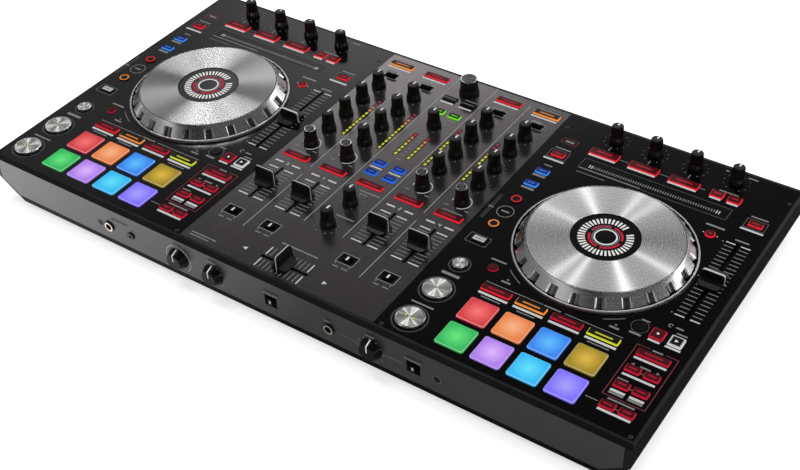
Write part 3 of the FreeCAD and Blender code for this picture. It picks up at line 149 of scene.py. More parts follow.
def set_bump(tree, bsdf, height, strength, distance):
    bump = add(tree, "Bump", {"Height": height, "Strength": strength, "Distance": distance})
    link(tree, bsdf, {"Normal": bump.outputs[0]})


# Colours


def grey(value, blue=None):
    """A grey, with its own share of blue where one is given."""
    return value, value, value if blue is None else blue


def srgb(r, g, b):
    """A colour given in 0 to 255 display steps."""
    def linear(v):
        v /= 255.0
        return v / 12.92 if v <= 0.04045 else ((v + 0.055) / 1.055) ** 2.4
    return linear(r), linear(g), linear(b)


def dimmed(colour, share):
    return tuple(c * share for c in colour)


def rgba(colour, share=1.0):
    return dimmed(colour, share) + (1.0,)


def shades(tree, tone, colour, darker, lighter):
    """The colour's darker and lighter shades, mixed by the tone."""
    return mix_colour(tree, tone, rgba(colour, darker), rgba(colour, lighter))


# Kinds of finish


def shader(name, colour, roughness, metallic=0.0, specular=0.5, more=None):
    """A new material, its node tree and its Principled node, with constants set on the sockets."""
    material = bpy.data.materials.new(name)
    material.use_nodes = True
    tree = material.node_tree
    bsdf = tree.nodes["Principled BSDF"]
    constants = {"Base Color": rgba(colour), "Roughness": roughness, "Metallic": metallic,
                 "Specular IOR Level": specular}
    for key, value in {**constants, **(more or {})}.items():
        bsdf.inputs[key].default_value = value
    return material, tree, bsdf


def moulded(name, colour, roughness, specular=0.5, grain=1800.0, depth=0.00004):
    """Moulded plastic or rubber: fine grain, with worn and cleaner patches."""
    material, tree, bsdf = shader(name, colour, roughness, specular=specular)
    space = coordinates(tree)
    fine = noise(tree, space, grain)
    patches = noise(tree, space, 24.0)
    gloss = blend(tree, fine, patches, 0.5)
    link(tree, bsdf, {
        "Base Color": shades(tree, spread(tree, patches), colour, 0.65, 1.35),
        "Roughness": spread(tree, gloss, roughness * 0.82, min(1.0, roughness * 1.2)),
    })
    set_bump(tree, bsdf, fine, 0.35, depth)
    return material


def brushed(name, colour, roughness, stretch, metallic=1.0, streak=0.12, depth=0.00002, specular=0.5):
    """Sheet metal brushed along one axis: fine streaks in tone, gloss and height."""
    material, tree, bsdf = shader(name, colour, roughness, metallic, specular)
    lines = noise(tree, vector_maths(tree, "MULTIPLY", coordinates(tree), stretch), 1.0, 4.0)
    patches = noise(tree, coordinates(tree), 9.0)
    tone = rescale(tree, lines, 0.25, 0.75, 0.0, 1.0)
    gloss = blend(tree, lines, patches, 0.6)
    link(tree, bsdf, {
        "Base Color": shades(tree, tone, colour, 1.0 - streak, 1.0 + streak),
        "Roughness": spread(tree, gloss, roughness * 0.85, min(1.0, roughness * 1.15)),
    })
    set_bump(tree, bsdf, lines, 0.25, depth)
    return material


def spun(name, colour, roughness, anisotropic, rings=260.0):
    """Metal turned on a lathe: rings around the piece's own middle, with the radial streaks they give."""
    turned = {"Anisotropic": anisotropic, "Anisotropic Rotation": 0.25}
    material, tree, bsdf = shader(name, colour, roughness, 1.0, more=turned)
    from_middle = vector_maths(tree, "SUBTRACT", coordinates(tree, "Generated"), (0.5, 0.5, 0.5))
    outward = add(tree, "CombineXYZ", {"X": radius_of(tree, from_middle)}).outputs[0]
    lines = noise(tree, outward, rings, 2.0)
    link(tree, bsdf, {
        "Base Color": shades(tree, spread(tree, lines), colour, 0.94, 1.04),
        "Roughness": spread(tree, lines, roughness * 0.9, roughness * 1.1),
        "Tangent": add(tree, "Tangent", direction_type="RADIAL", axis="Z").outputs[0],
    })
    return material


def lit(name, steps, top=0.55, side=1.0):
    """Translucent plastic lit from below: the sides glow more than the top, and not quite evenly."""
    colour = srgb(*steps)
    glow = {"Emission Color": rgba(colour)}
    material, tree, bsdf = shader(name, dimmed(colour, 0.1), 0.4, specular=0.12, more=glow)
    share = rescale(tree, facing_up(tree), 0.5, 0.95, side, top)
    patches = spread(tree, noise(tree, coordinates(tree), 300.0), 0.85, 1.12)
    link(tree, bsdf, {"Emission Strength": times(tree, share, patches)})
    set_bump(tree, bsdf, noise(tree, coordinates(tree), 1500.0), 0.2, 0.00003)
    return material


def lit_pad(name, rim, middle, lamp_place, reach):
    """A silicone pad over one lamp, brighter in the middle, with a painted highlight along its rounded edge.
    """
    material, tree, bsdf = shader(name, dimmed(middle, 0.08), 0.5, specular=0.3)
    space = coordinates(tree)
    away = radius_of(tree, vector_maths(tree, "SUBTRACT", space, lamp_place))
    grain = spread(tree, noise(tree, space, 700.0), -0.04, 0.04)
    share = maths(tree, "ADD", rescale(tree, away, 0.0, reach, 0.0, 1.0), grain)
    upward = facing_up(tree)
    rising = rescale(tree, upward, 0.35, 0.6, 0.0, 1.0)
    falling = rescale(tree, upward, 0.8, 0.98, 1.0, 0.0)
    # A painted highlight: the rounded edge is mixed towards white.
    edge = times(tree, times(tree, rising, falling), 0.3)
    glow = mix_colour(tree, share, rgba(middle), rgba(rim))
    link(tree, bsdf, {
        "Emission Color": mix_colour(tree, edge, glow, WHITE),
        "Emission Strength": rescale(tree, upward, 0.0, 0.6, 0.6, 0.93),
    })
    set_bump(tree, bsdf, noise(tree, space, 1600.0), 0.4, 0.00008)
    return material


def pointed(name, colour, roughness, specular, width, upright=False):
    """A knob's satin face or rubber barrel, with the white pointer printed on it."""
    material, tree, bsdf = shader(name, colour, roughness, specular=specular)
    parts = add(tree, "SeparateXYZ", {0: coordinates(tree, "Generated")})
    across = maths(tree, "ABSOLUTE", maths(tree, "SUBTRACT", parts.outputs[0], 0.5))
    narrow = maths(tree, "LESS_THAN", across, width)
    outer = maths(tree, "GREATER_THAN", parts.outputs[2 if upright else 1], 0.54)
    tone = spread(tree, noise(tree, coordinates(tree), 700.0))
    plain = shades(tree, tone, colour, 0.85, 1.15)
    pointer = times(tree, narrow, outer)
    link(tree, bsdf, {"Base Color": mix_colour(tree, pointer, plain, WHITE)})
    set_bump(tree, bsdf, noise(tree, coordinates(tree), 1500.0), 0.25, 0.00002)
    return material


def ink(name, colour, roughness=0.55, specular=0.5):
    """Screen-printed ink, slightly thin in places."""
    material, tree, bsdf = shader(name, colour, roughness, specular=specular)
    tone = spread(tree, noise(tree, coordinates(tree), 900.0))
    link(tree, bsdf, {"Base Color": shades(tree, tone, colour, 0.8, 1.08)})
    return material


# How far brushed lines are drawn out along the axes
ALONG_X = (30.0, 30.0, 1800.0)
ALONG_Y = (1600.0, 40.0, 40.0)
AROUND = (50.0, 50.0, 1500.0)

# Each finish: its kind, colour and roughness, then whatever else the kind takes
FINISH_TABLE = {
    # The case and its sheets
    "case": (moulded, grey(0.004, 0.0042), 0.42, 0.2),
    "tray": (moulded, grey(0.004), 0.5, 0.08),
    "rear": (brushed, grey(0.03, 0.031), 0.45, (40.0, 40.0, 900.0), 0.3),
    "deck": (brushed, grey(0.002, 0.0022), 0.16, (60.0, 1400.0, 60.0), 0.0, 0.1, 0.000003, 0.15),
    "mixer": (brushed, (0.13, 0.12, 0.122), 0.18, ALONG_Y, 0.9, 0.14),
    "fascia": (brushed, (0.105, 0.102, 0.104), 0.36, ALONG_X, 0.85, 0.16),
    "rubber": (moulded, grey(0.015), 0.85, 0.5, 900.0, 0.0001),
    "screw": (brushed, grey(0.05), 0.4, (900.0, 900.0, 900.0)),
    "board": (moulded, (0.01, 0.07, 0.03), 0.45),
    "socket": (moulded, grey(0.01), 0.4, 0.3),
    "nickel": (brushed, (0.72, 0.66, 0.54), 0.25, (600.0, 600.0, 600.0)),
    "lens": (moulded, grey(0.003, 0.0035), 0.18, 0.12, 1200.0, 0.000004),
    # The wheels and the transport buttons
    "hub": (moulded, grey(0.004, 0.005), 0.08, 0.3, 1200.0, 0.000002),
    "wheel": (spun, grey(0.76, 0.765), 0.26, 1.0),
    # The left wheel's top: a darker copy of the right one's metal, painted shade.
    "left_wheel": (spun, grey(0.3, 0.302), 0.26, 1.0),
    "skirt": (brushed, grey(0.7, 0.705), 0.2, AROUND, 1.0, 0.05, 0.000003),
    # Finger scallops: a darker copy of the side's metal, painted shade in the hollows.
    "notch": (brushed, grey(0.17, 0.172), 0.2, AROUND, 1.0, 0.05, 0.000003),
    "ring": (spun, grey(0.5, 0.505), 0.42, 0.2),
    "face": (spun, (0.66, 0.655, 0.635), 0.3, 1.0, 120.0),
    "button": (brushed, grey(0.5), 0.3, (700.0, 700.0, 700.0)),
    "chrome": (brushed, grey(0.78, 0.79), 0.16, (500.0, 500.0, 500.0), 1.0, 0.04, 0.000004),
    # Knobs, caps and unlit keys
    "knob": (moulded, grey(0.005), 0.24, 0.3, 1400.0, 0.00003),
    "knob_top": (pointed, grey(0.008), 0.35, 0.2, 0.055),
    "front_knob": (pointed, grey(0.003), 0.3, 0.15, 0.028, True),
    "dark_spun": (spun, grey(0.07, 0.071), 0.22, 1.0, 90.0),
    "cap": (moulded, grey(0.003), 0.32, 0.2, 1600.0, 0.00003),
    "grey_cap": (moulded, grey(0.16), 0.4),
    "dark_key": (moulded, grey(0.004), 0.3, 0.08),
    # Inks
    "white_ink": (ink, grey(0.62)),
    "grey_ink": (ink, grey(0.2)),
    "line_ink": (ink, grey(0.34)),
    "dim_ink": (ink, grey(0.08)),
    "bright_ink": (ink, grey(0.85)),
    "black_ink": (ink, grey(0.003), 0.35, 0.15),
    "red_ink": (ink, (0.2, 0.006, 0.02)),
    # Lit keys, in display steps
    "red": (lit, (232, 32, 48)),
    "deep_red": (lit, (196, 22, 52)),
    "orange": (lit, (250, 150, 60)),
    "yellow": (lit, (215, 225, 50)),
    "blue": (lit, (40, 110, 245)),
    "light_blue": (lit, (60, 140, 250)),
    "green": (lit, (120, 235, 40)),
    "white": (lit, (215, 215, 215)),
    # A painted highlight ring that glows, then lamps, meters and the key tops over them, as bright on top as
    # on the sides
    "glint": (lit, (150, 150, 150), 0.5, 0.5),
    "pale_lamp": (lit, (232, 232, 230), 0.9, 0.9),
    "red_lamp": (lit, (186, 18, 50), 0.9, 0.9),
    "pink_lamp": (lit, (165, 60, 80), 0.7, 0.7),
    "amber_lamp": (lit, (215, 140, 85), 0.75, 0.75),
    "lime_lamp": (lit, (200, 205, 60), 0.8, 0.8),
    "dark_red": (lit, (62, 2, 12), 0.9, 0.9),
    "dark_blue": (lit, (8, 30, 100), 0.9, 0.9),
}
FINISHES = {name: kind("look_" + name, *values) for name, (kind, *values) in FINISH_TABLE.items()}


# Meshes


def islands(item):
    """The separate solids of a mesh: the faces of each, and its lowest and highest corner."""
    mesh = item.data
    spots = np.empty(len(mesh.vertices) * 3)
    mesh.vertices.foreach_get("co", spots)
    spots = spots.reshape(-1, 3)
    _, same = np.unique(np.round(spots / 1e-6).astype(np.int64), axis=0, return_inverse=True)
    same = same.reshape(-1)
    parent = list(range(int(same.max()) + 1))

    def root(i):
        while parent[i] != i:
            parent[i] = parent[parent[i]]
            i = parent[i]
        return i

    faces = [list(face.vertices) for face in mesh.polygons]
    for face in faces:
        first = root(same[face[0]])
        for corner in face[1:]:
            parent[root(same[corner])] = first
    groups = {}
    for index, face in enumerate(faces):
        groups.setdefault(root(same[face[0]]), []).append(index)
    result = []
    for members in groups.values():
        corners = spots[[corner for index in members for corner in faces[index]]]
        result.append((members, to_mm(corners.min(axis=0)), to_mm(corners.max(axis=0))))
    return result


def skin(mesh, rows, closed):
    """Faces between rows of points, each row a loop. The ends of an open run are closed off."""
    faces = []
    for a, b in zip(rows, rows[1:] + rows[:1] if closed else rows[1:]):
        for k in range(len(a)):
            m = (k + 1) % len(a)
            corners = list(dict.fromkeys([a[k], a[m], b[m], b[k]]))
            if len(corners) > 2:
                faces.append(mesh.faces.new(corners))
    if not closed:
        faces.append(mesh.faces.new(rows[0][::-1]))
        faces.append(mesh.faces.new(rows[-1]))
    return faces


def lathe(mesh, profile, x, y, steps, index):
    """A ring or disc turned about an upright axis, from the radius and height of its corners."""
    hubs = {z: mesh.verts.new(place(x, y, z)) for radius, z in profile if not radius}
    rows = []
    for i in range(steps):
        c, s = math.cos(TAU * i / steps), math.sin(TAU * i / steps)
        rows.append([mesh.verts.new(place(x + r * c, y + r * s, z)) if r else hubs[z] for r, z in profile])
    for face in skin(mesh, rows, closed=True):
        face.material_index = index


def add_to_scene(name, data):
    item = bpy.data.objects.new(name, data)
    bpy.context.scene.collection.objects.link(item)
    return item


def finish_piece(name, mesh, finishes, body):
    """Makes a piece of the scene from a mesh, on a body of the part."""
    bmesh.ops.recalc_face_normals(mesh, faces=mesh.faces)
    data = bpy.data.meshes.new(name)
    mesh.to_mesh(data)
    mesh.free()
    for finish in finishes:
        data.materials.append(FINISHES[finish])
    item = add_to_scene(name, data)
    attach(item, body)


class Layer:
    """Thin shapes on one plane, gathered in one mesh. They count across from the layer's origin."""

    SINK = 0.02

    def __init__(self, name, body, height, slot, thick=0.06, upright=False):
        self.name, self.body, self.slot = name, body, slot
        self.height, self.thick = height, thick
        self.upright = upright
        self.origin = 0.0
        self.mesh = bmesh.new()
        self.inks = []

    def point(self, a, b, lift):
        if self.upright:
            return self.mesh.verts.new(place(self.origin + a, -self.height - lift, b))
        return self.mesh.verts.new(place(self.origin + a, b, self.height + lift))

    def paint(self, faces, ink):
        if ink not in self.inks:
            self.inks.append(ink)
        for face in faces:
            face.material_index = self.inks.index(ink)

    def shape(self, outline, ink="grey_ink"):
        """A flat plate with this outline."""
        rows = [[self.point(a, b, lift) for a, b in outline] for lift in (-self.SINK, self.thick)]
        self.paint(skin(self.mesh, rows, closed=False), ink)

    def bar(self, x, y, w, h, ink="grey_ink"):
        corners = ((-1, -1), (1, -1), (1, 1), (-1, 1))
        self.shape([(x + a * w / 2, y + b * h / 2) for a, b in corners], ink)

    def arrow(self, x, y, back, tip, half, side=1, ink="grey_ink"):
        """A triangle that points right, or left where side is -1."""
        self.shape([(x - side * back, y - half), (x + side * tip, y), (x - side * back, y + half)], ink)

    def pill(self, x, y, w, h, ink, corner, steps=3):
        """A bar with rounded corners."""
        points = []
        for cx, cy, start in ((1, -1, -90), (1, 1, 0), (-1, 1, 90), (-1, -1, 180)):
            for i in range(steps + 1):
                angle = math.radians(start + 90.0 * i / steps)
                points.append((x + cx * (w / 2 - corner) + corner * math.cos(angle),
                               y + cy * (h / 2 - corner) + corner * math.sin(angle)))
        self.shape(points, ink)

    def disc(self, x, y, r, ink="grey_ink", steps=28):
        turns = [TAU * i / steps for i in range(steps)]
        self.shape([(x + r * math.cos(turn), y + r * math.sin(turn)) for turn in turns], ink)

    def arc(self, x, y, inner, outer, start, end, ink="grey_ink", step=4.0):
        """A band around a centre, between two angles in degrees."""
        whole = end - start == 360
        count = max(2, int((end - start) / step))
        corners = ((inner, -self.SINK), (outer, -self.SINK), (outer, self.thick), (inner, self.thick))
        rows = []
        for i in range(count if whole else count + 1):
            angle = math.radians(start + (end - start) * i / count)
            c, s = math.cos(angle), math.sin(angle)
            rows.append([self.point(x + r * c, y + r * s, lift) for r, lift in corners])
        self.paint(skin(self.mesh, rows, closed=whole), ink)

    def ring(self, x, y, inner, outer, ink="grey_ink", step=4.0):
        self.arc(x, y, inner, outer, 0, 360, ink, step)

    def frame(self, x, y, w, h, line, ink="grey_ink"):
        """Four bars around a rectangle."""
        for side in (-1, 1):
            self.bar(x, y + side * (h - line) / 2, w, line, ink)
            self.bar(x + side * (w - line) / 2, y, line, h - 2 * line, ink)

    def done(self):
        finish_piece(self.name, self.mesh, self.inks, self.body)


# Finishes of the CAD nodes

PLAIN_NODES = {
    "upper_case": "case", "bottom_tray": "tray", "rear_panel": "rear", "deck_panels": "deck",
    "mixer_panel": "mixer", "front_fascia": "fascia", "rubber_feet": "rubber", "screws": "screw",
    "circuit_boards": "board", "sockets": "socket", "slide_switches": "cap",
}
# How far a key's or button's flange reaches past its top, under the sheet
KEY_FLANGE = 0.8


def near(value, *targets):
    return any(abs(value - target) < 3.5 for target in targets)


def pick(finishes, value):
    """The finish whose place is near this one, if there is any."""
    return next((finishes[spot] for spot in finishes if near(value, spot)), None)


def dress(node, *names):
    """Gives a CAD node its finishes, the first of them on every face."""
    item = NODES[node]
    item.data.materials.clear()
    for name in names:
        item.data.materials.append(FINISHES[name])
    item.data.polygons.foreach_set("material_index", [0] * len(item.data.polygons))
    return item


def paint(item, members, index):
    for member in members:
        item.data.polygons[member].material_index = index


def dress_plain_nodes():
    for node, name in PLAIN_NODES.items():
        dress(node, name)
    for node in NODES:
        if node.startswith("jog_wheel"):
            dress_wheel(node)
        elif "fader" in node:
            dress(node, "cap")
        elif node.startswith(("phones", "mic")) and "knob" in node:
            dress(node, "front_knob")
        elif "knob" in node:
            dress_knob(node)


def dress_wheel(node):
    """A wheel's turned top, its side, and the finger scallops, which lie deeper than the side and get a
    darker copy of its metal as painted shade.
    """
    step, depth = 0.0005, 0.0004
    # The left wheel takes the darker copy of the metal: painted shade.
    item = dress(node, "left_wheel" if node.endswith("left") else "wheel", "skirt", "notch")
    low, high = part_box(node)
    middle = (low + high) / 2
    reach = {}
    side = []
    for face in item.data.polygons:
        if face.normal.z < 0.75:
            radius = math.hypot(face.center.x - middle.x, face.center.y - middle.y)
            level = round(face.center.z / step)
            side.append((face, radius, level))
            reach[level] = max(radius, reach.get(level, 0.0))
    for face, radius, level in side:
        # Faces that lie deeper than the side get the darker metal: painted shade.
        face.material_index = 2 if radius < reach[level] - depth else 1


def dress_knob(node):
    """A knob's barrel, and the face and edge on top of it."""
    face_depth, edge_depth = 0.0004, 0.0013
    tops = ("dark_spun", "chrome") if node.startswith(("filter", "browse")) else ("knob_top", "knob_top")
    item = dress(node, "knob", *tops)
    top = max(face.center.z for face in item.data.polygons)
    for face in item.data.polygons:
        if face.center.z > top - face_depth and face.normal.z > 0.9:
            face.material_index = 1
        elif face.center.z > top - edge_depth and face.normal.z > 0.2:
            face.material_index = 2


def dress_hubs():
    """The wheels' displays, and the rings around the wheels, pale but for their inner share, which keeps the
    displays' black as painted shade of the gap beside each wheel.
    """
    gap_shade_share = 0.16
    hubs = dress("jog_hubs", "hub", "ring")
    for members, low, high in islands(hubs):
        if high[0] - low[0] < 120:
            continue
        x, y, _ = (low + high) / 2
        reach = {}
        for member in members:
            px, py, _ = to_mm(hubs.data.polygons[member].center)
            reach[member] = math.hypot(px - x, py - y)
        inner = min(reach.values())
        # The inner share stays black: painted shade in the gap between wheel and ring.
        split = inner + gap_shade_share * (max(reach.values()) - inner)
        paint(hubs, [member for member in members if reach[member] > split], 1)


def dress_lenses():
    """Smoked meter lenses, and lit set knobs with dark tops, which stand above the sheet."""
    lenses = dress("lenses", "lens", "deep_red", "dark_red")
    faces = lenses.data.polygons
    for members, _, high in islands(lenses):
        if high[2] > TOP + 0.5:
            paint(lenses, members, 1)
            paint(lenses, [member for member in members if faces[member].center.z / MM > high[2] - 0.6], 2)


# The lamps of the keys, by row or column. Every other key is red.
LOAD_ROW = 319.5
MIXER_ROWS = {162.0: "blue", 176.5: "blue", 272.0: "green", 294.5: "dark_key"}
MODE_ROW = 87.0
MODE_COLUMNS = {-49.0: "red", -17.0: "orange", 15.0: "deep_red", 47.0: "yellow"}
SHIFT_ROW = 134.0
ROUND_ROWS = (157.5, 195.5)
LEFT_ROWS = {**dict.fromkeys((SHIFT_ROW, *ROUND_ROWS), "dark_key"), 222.5: "light_blue", 242.0: "light_blue"}
GRID_ROW = 111.0


def key_finish(x, y):
    """The colour of the lamp under the key at this place."""
    if abs(x) < MIXER_HALF:
        if near(y, LOAD_ROW):
            return "orange" if abs(x) > 62 else "red"
        return pick(MIXER_ROWS, y) or "red"
    u = from_wheel(x)
    if near(y, MODE_ROW) and u < 65:
        return MODE_COLUMNS[min(MODE_COLUMNS, key=lambda column: abs(column - u))]
    if u < 0 and pick(LEFT_ROWS, y):
        return pick(LEFT_ROWS, y)
    if near(y, GRID_ROW):
        return "dark_key" if u < 72 else "deep_red" if u < 88 else "white"
    return "red" if y > 200 else "deep_red"


def dress_keys():
    """Lights the keys, and lists the middle, size, top and finish of each."""
    names = ["red", "deep_red", "orange", "yellow", "blue", "light_blue", "green", "white", "dark_key"]
    keys = dress("push_keys", *names)
    spots = []
    for members, low, high in islands(keys):
        x, y, _ = (low + high) / 2
        w, h, _ = high - low - 2 * KEY_FLANGE
        name = key_finish(x, y)
        paint(keys, members, names.index(name))
        spots.append((x, y, w, h, high[2], name))
    return spots


# The pads' colours in the middle and at the rim, in display steps: the front row, then the one behind it
PAD_COLOURS = [
    [((99, 228, 122), (26, 178, 84)), ((223, 179, 252), (164, 118, 232)),
     ((92, 224, 251), (30, 178, 240)), ((165, 158, 249), (120, 104, 250))],
    [((247, 113, 108), (206, 44, 56)), ((248, 178, 130), (228, 122, 54)),
     ((90, 189, 252), (36, 124, 236)), ((220, 180, 60), (150, 126, 4))],
]
FIRST_PAD = -49.0
PAD_PITCH = 32.2
SECOND_PAD_ROW = 43.0
PAD_REACH = 12.8


def dress_pads():
    pads = NODES["performance_pads"]
    rows = islands(pads)
    names = ["pad_%d" % (index + 1) for index in range(len(rows))]
    for name, (_, low, high) in zip(names, rows):
        x, y, _ = (low + high) / 2
        column = round((from_wheel(x) - FIRST_PAD) / PAD_PITCH)
        middle, rim = PAD_COLOURS[1 if y > SECOND_PAD_ROW else 0][column]
        FINISHES[name] = lit_pad(name, srgb(*rim), srgb(*middle), place(x, y, 0.0), PAD_REACH * MM)
    dress("performance_pads", *names)
    for index, (members, _, _) in enumerate(rows):
        paint(pads, members, index)


# The transport buttons' rows with the radius of the ring around each, and the side and radius of their lamps
BUTTON_ROWS = {25.0: 15.0, 64.0: 15.0, 99.0: 9.2}
BUTTON_LAMPS = {25.0: ((-4.0, 1.0), (4.0, 1.0)), 64.0: ((4.0, 0.5),)}


def plate(mesh, radius, bottom, top, x, y, steps, index):
    lathe(mesh, [(0.0, bottom), (radius, bottom), (radius, top), (0.0, top)], x, y, steps, index)


def dress_buttons():
    """The transport buttons, each with its spun metal face and rim, and the lamps in two of them."""
    buttons = dress("transport_buttons", "button")
    by_place = sorted(islands(buttons), key=lambda row: tuple(row[1]))
    for number, (_, low, high) in enumerate(by_place, 1):
        x, y, _ = (low + high) / 2
        top = high[2]
        outer = (high[0] - low[0]) / 2 - KEY_FLANGE - 0.7
        inner = outer - 1.1
        bottom = top - 0.02
        rim = [(inner + 0.15, bottom), (outer, bottom), (outer - 0.1, top + 0.2), (inner + 0.35, top + 0.2)]
        mesh = bmesh.new()
        plate(mesh, inner, bottom, top + 0.08, x, y, 64, 0)
        lathe(mesh, rim, x, y, 64, 1)
        for dx, radius in pick(BUTTON_LAMPS, y) or ():
            plate(mesh, radius, top, top + 0.16, x + dx, y, 16, 2)
        finishes = ["face", "chrome", "lime_lamp"]
        finish_piece("button_face_%d" % number, mesh, finishes, "transport_buttons")


# What is printed: plain bars stand for the words

WORD = 1.5
LINE = 0.7


def scale(layer, x, y, count, pitch, length, strong, thick=1.2, along_x=False):
    """A row of bars beside a slot, the strong ones thicker and lighter than the rest."""
    for i in range(count):
        width, ink = (thick, "white_ink") if i in strong else (0.8, "grey_ink")
        if along_x:
            layer.bar(x + pitch * i, y, width, length, ink)
        else:
            layer.bar(x, y + pitch * i, length, width, ink)


def dots(layer, x, y, reach, r=0.34, accent=1.35, ink="line_ink", steps=10):
    """A knob's scale: eleven dots over its range, from the lower left to the lower right."""
    for i in range(11):
        angle = math.radians(240 - 30 * i)
        size = r * accent if i in (0, 5, 10) else r
        layer.disc(x + reach * math.cos(angle), y + reach * math.sin(angle), size, ink, steps)


def digit(layer, x, y, number, size=3.4):
    """A plain number made of straight strokes."""
    w, line = size * 0.5, size * 0.16
    level = {"a": 1, "g": 0, "d": -1}
    upright = {"b": (1, 1), "c": (1, -1), "e": (-1, -1), "f": (-1, 1), "i": (0, 1), "j": (0, -1)}
    for stroke in {1: "ij", 2: "abged", 3: "abgcd", 4: "fgbc"}[number]:
        if stroke in level:
            layer.bar(x, y + level[stroke] * size / 2, w, line, "white_ink")
        else:
            across, up = upright[stroke]
            layer.bar(x + across * w / 2, y + up * size / 4, line, size / 2, "white_ink")


def dashes(layer, x, y, w, h):
    """A dashed outline."""
    gap, line = 1.1, 0.5
    for side in (-1, 1):
        for i in range(6):
            layer.bar(x - w / 2 + (i + 0.5) * w / 6, y + side * h / 2, w / 6 - gap, line)
        for i in range(4):
            layer.bar(x + side * w / 2, y - h / 2 + (i + 0.5) * h / 4, line, h / 4 - gap)


# Columns of a deck, from the middle of its wheel, and the step from knob to knob behind it
BUTTON_COLUMN = -92.5
SIDE_COLUMN = 95.2
TEMPO_SLOT = 93.0
LOOP_COLUMN = 89.0
EFFECT_PITCH = 39.35


def print_buttons(layer):
    """Rings around the transport buttons, and words behind two of them."""
    for y, radius in BUTTON_ROWS.items():
        layer.ring(BUTTON_COLUMN, y, radius - 0.7, radius - 0.35, "dim_ink", 5.0)
        layer.ring(BUTTON_COLUMN, y, radius + 0.05, radius + 0.4, "dim_ink", 5.0)
    layer.bar(BUTTON_COLUMN, 84.7, 17.0, 3.0)
    layer.bar(BUTTON_COLUMN, 43.2, 21.0, 1.6)


def print_modes(layer):
    """A line with a word over the mode keys, and one or two words in front of each."""
    for x, w, h in ((-37.0, 53.0, LINE), (34.5, 51.0, LINE), (-2.0, 15.0, 1.3)):
        layer.bar(x, 93.6, w, h)
    for x, w in ((-49.3, 18.0), (-17.1, 16.0), (15.1, None), (47.3, 19.0)):
        layer.bar(x, 80.0, 27.0, 2.4, "white_ink")
        if w:
            layer.bar(x, 76.4, w, 1.1)


def print_wheel(layer):
    """Two arcs along the wheel, with words and arrows in front of it."""
    for start, end in ((-130, -117.5), (-63.6, -51.3)):
        layer.arc(0.0, WHEEL_Y, 83.2, 83.8, start, end, step=1.5)
    for x in (-49.0, 49.0):
        layer.bar(x, 100.2, 8.5, 1.8)
        layer.shape([(x - 1.2, 103.0), (x + 1.2, 103.0), (x, 105.0)])
    layer.bar(-67.0, 119.5, 14.5, 1.7)
    layer.bar(67.0, 120.0, 7.0, 1.3)
    layer.bar(67.0, 252.3, 17.0, 2.2)
    for side in (-1, 1):
        layer.disc(67.2 + side * 6.3, 241.0, 0.6, "white_ink", 10)


def print_left_keys(layer):
    """The column of small keys on the left."""
    dashes(layer, -96.0, 133.5, 20.0, 12.0)
    layer.ring(-SIDE_COLUMN, 177.0, 7.2, 7.9, step=6.0)
    for y, w, h in ((177.0, 8.0, 1.7), (215.0, 12.5, 2.6), (235.4, 12.5, 2.6), (252.6, 8.0, 1.4)):
        layer.bar(-SIDE_COLUMN, y, w, h)
    for x in (-108.6, -110.6):
        layer.bar(x, 186.5, 0.5, 18.0, "dim_ink")
        layer.bar(x, 168.0, 0.5, 16.0, "dim_ink")
    layer.bar(-109.6, 177.0, 5.0, WORD)
    for x in (-SIDE_COLUMN, SIDE_COLUMN):
        layer.frame(x, 271.3, 19.0, 13.0, 0.6, "dim_ink")
        layer.bar(x, 262.3, 20.5, 2.2, "white_ink")
        layer.bar(x, 280.9, 15.5, WORD)


def print_effects(layer):
    """The effect keys and knobs behind the wheel."""
    for x, to_dash, dash in ((-59.0, 19.6, 9.0), (-19.65, 19.6, 9.0), (19.65, 17.2, 5.6)):
        layer.bar(x, 286.8, 27.0, 2.4, "white_ink")
        layer.bar(x, 303.2, 0.9, 6.0)
        layer.bar(x + to_dash, 293.2, dash, 0.6)
    for x in (51.2, 67.2):
        layer.bar(x, 286.8, 10.4, 2.4, "white_ink")
    layer.bar(59.0, 299.8, 18.0, WORD)
    layer.bar(-95.0, 293.4, 9.0, 2.4)
    layer.frame(-95.0, 293.4, 15.5, 8.0, 0.5, "red_ink")
    layer.bar(45.5, 328.3, 3.0, 1.6)
    layer.bar(70.0, 328.3, 9.0, 1.6)
    for i in range(4):
        dots(layer, -59.0 + EFFECT_PITCH * i, 317.0, 11.6)


def print_tempo(layer):
    """The tempo fader's scales on both sides of its slot, and its words."""
    layer.bar(94.0, 245.4, 12.5, 1.7)
    for side in (-1, 1):
        scale(layer, TEMPO_SLOT + side * 6.6, 138.8, 21, 5.03, 8.4, (0, 10, 20))
    for y in (139.6, 189.2, 238.6):
        layer.disc(79.6, y, 0.7, steps=10)
    layer.arc(85.5, 125.3, 1.2, 2.1, 20, 300, step=12.0)
    layer.bar(93.2, 125.3, 6.5, WORD)
    layer.bar(97.5, 119.9, 9.0, 1.3)


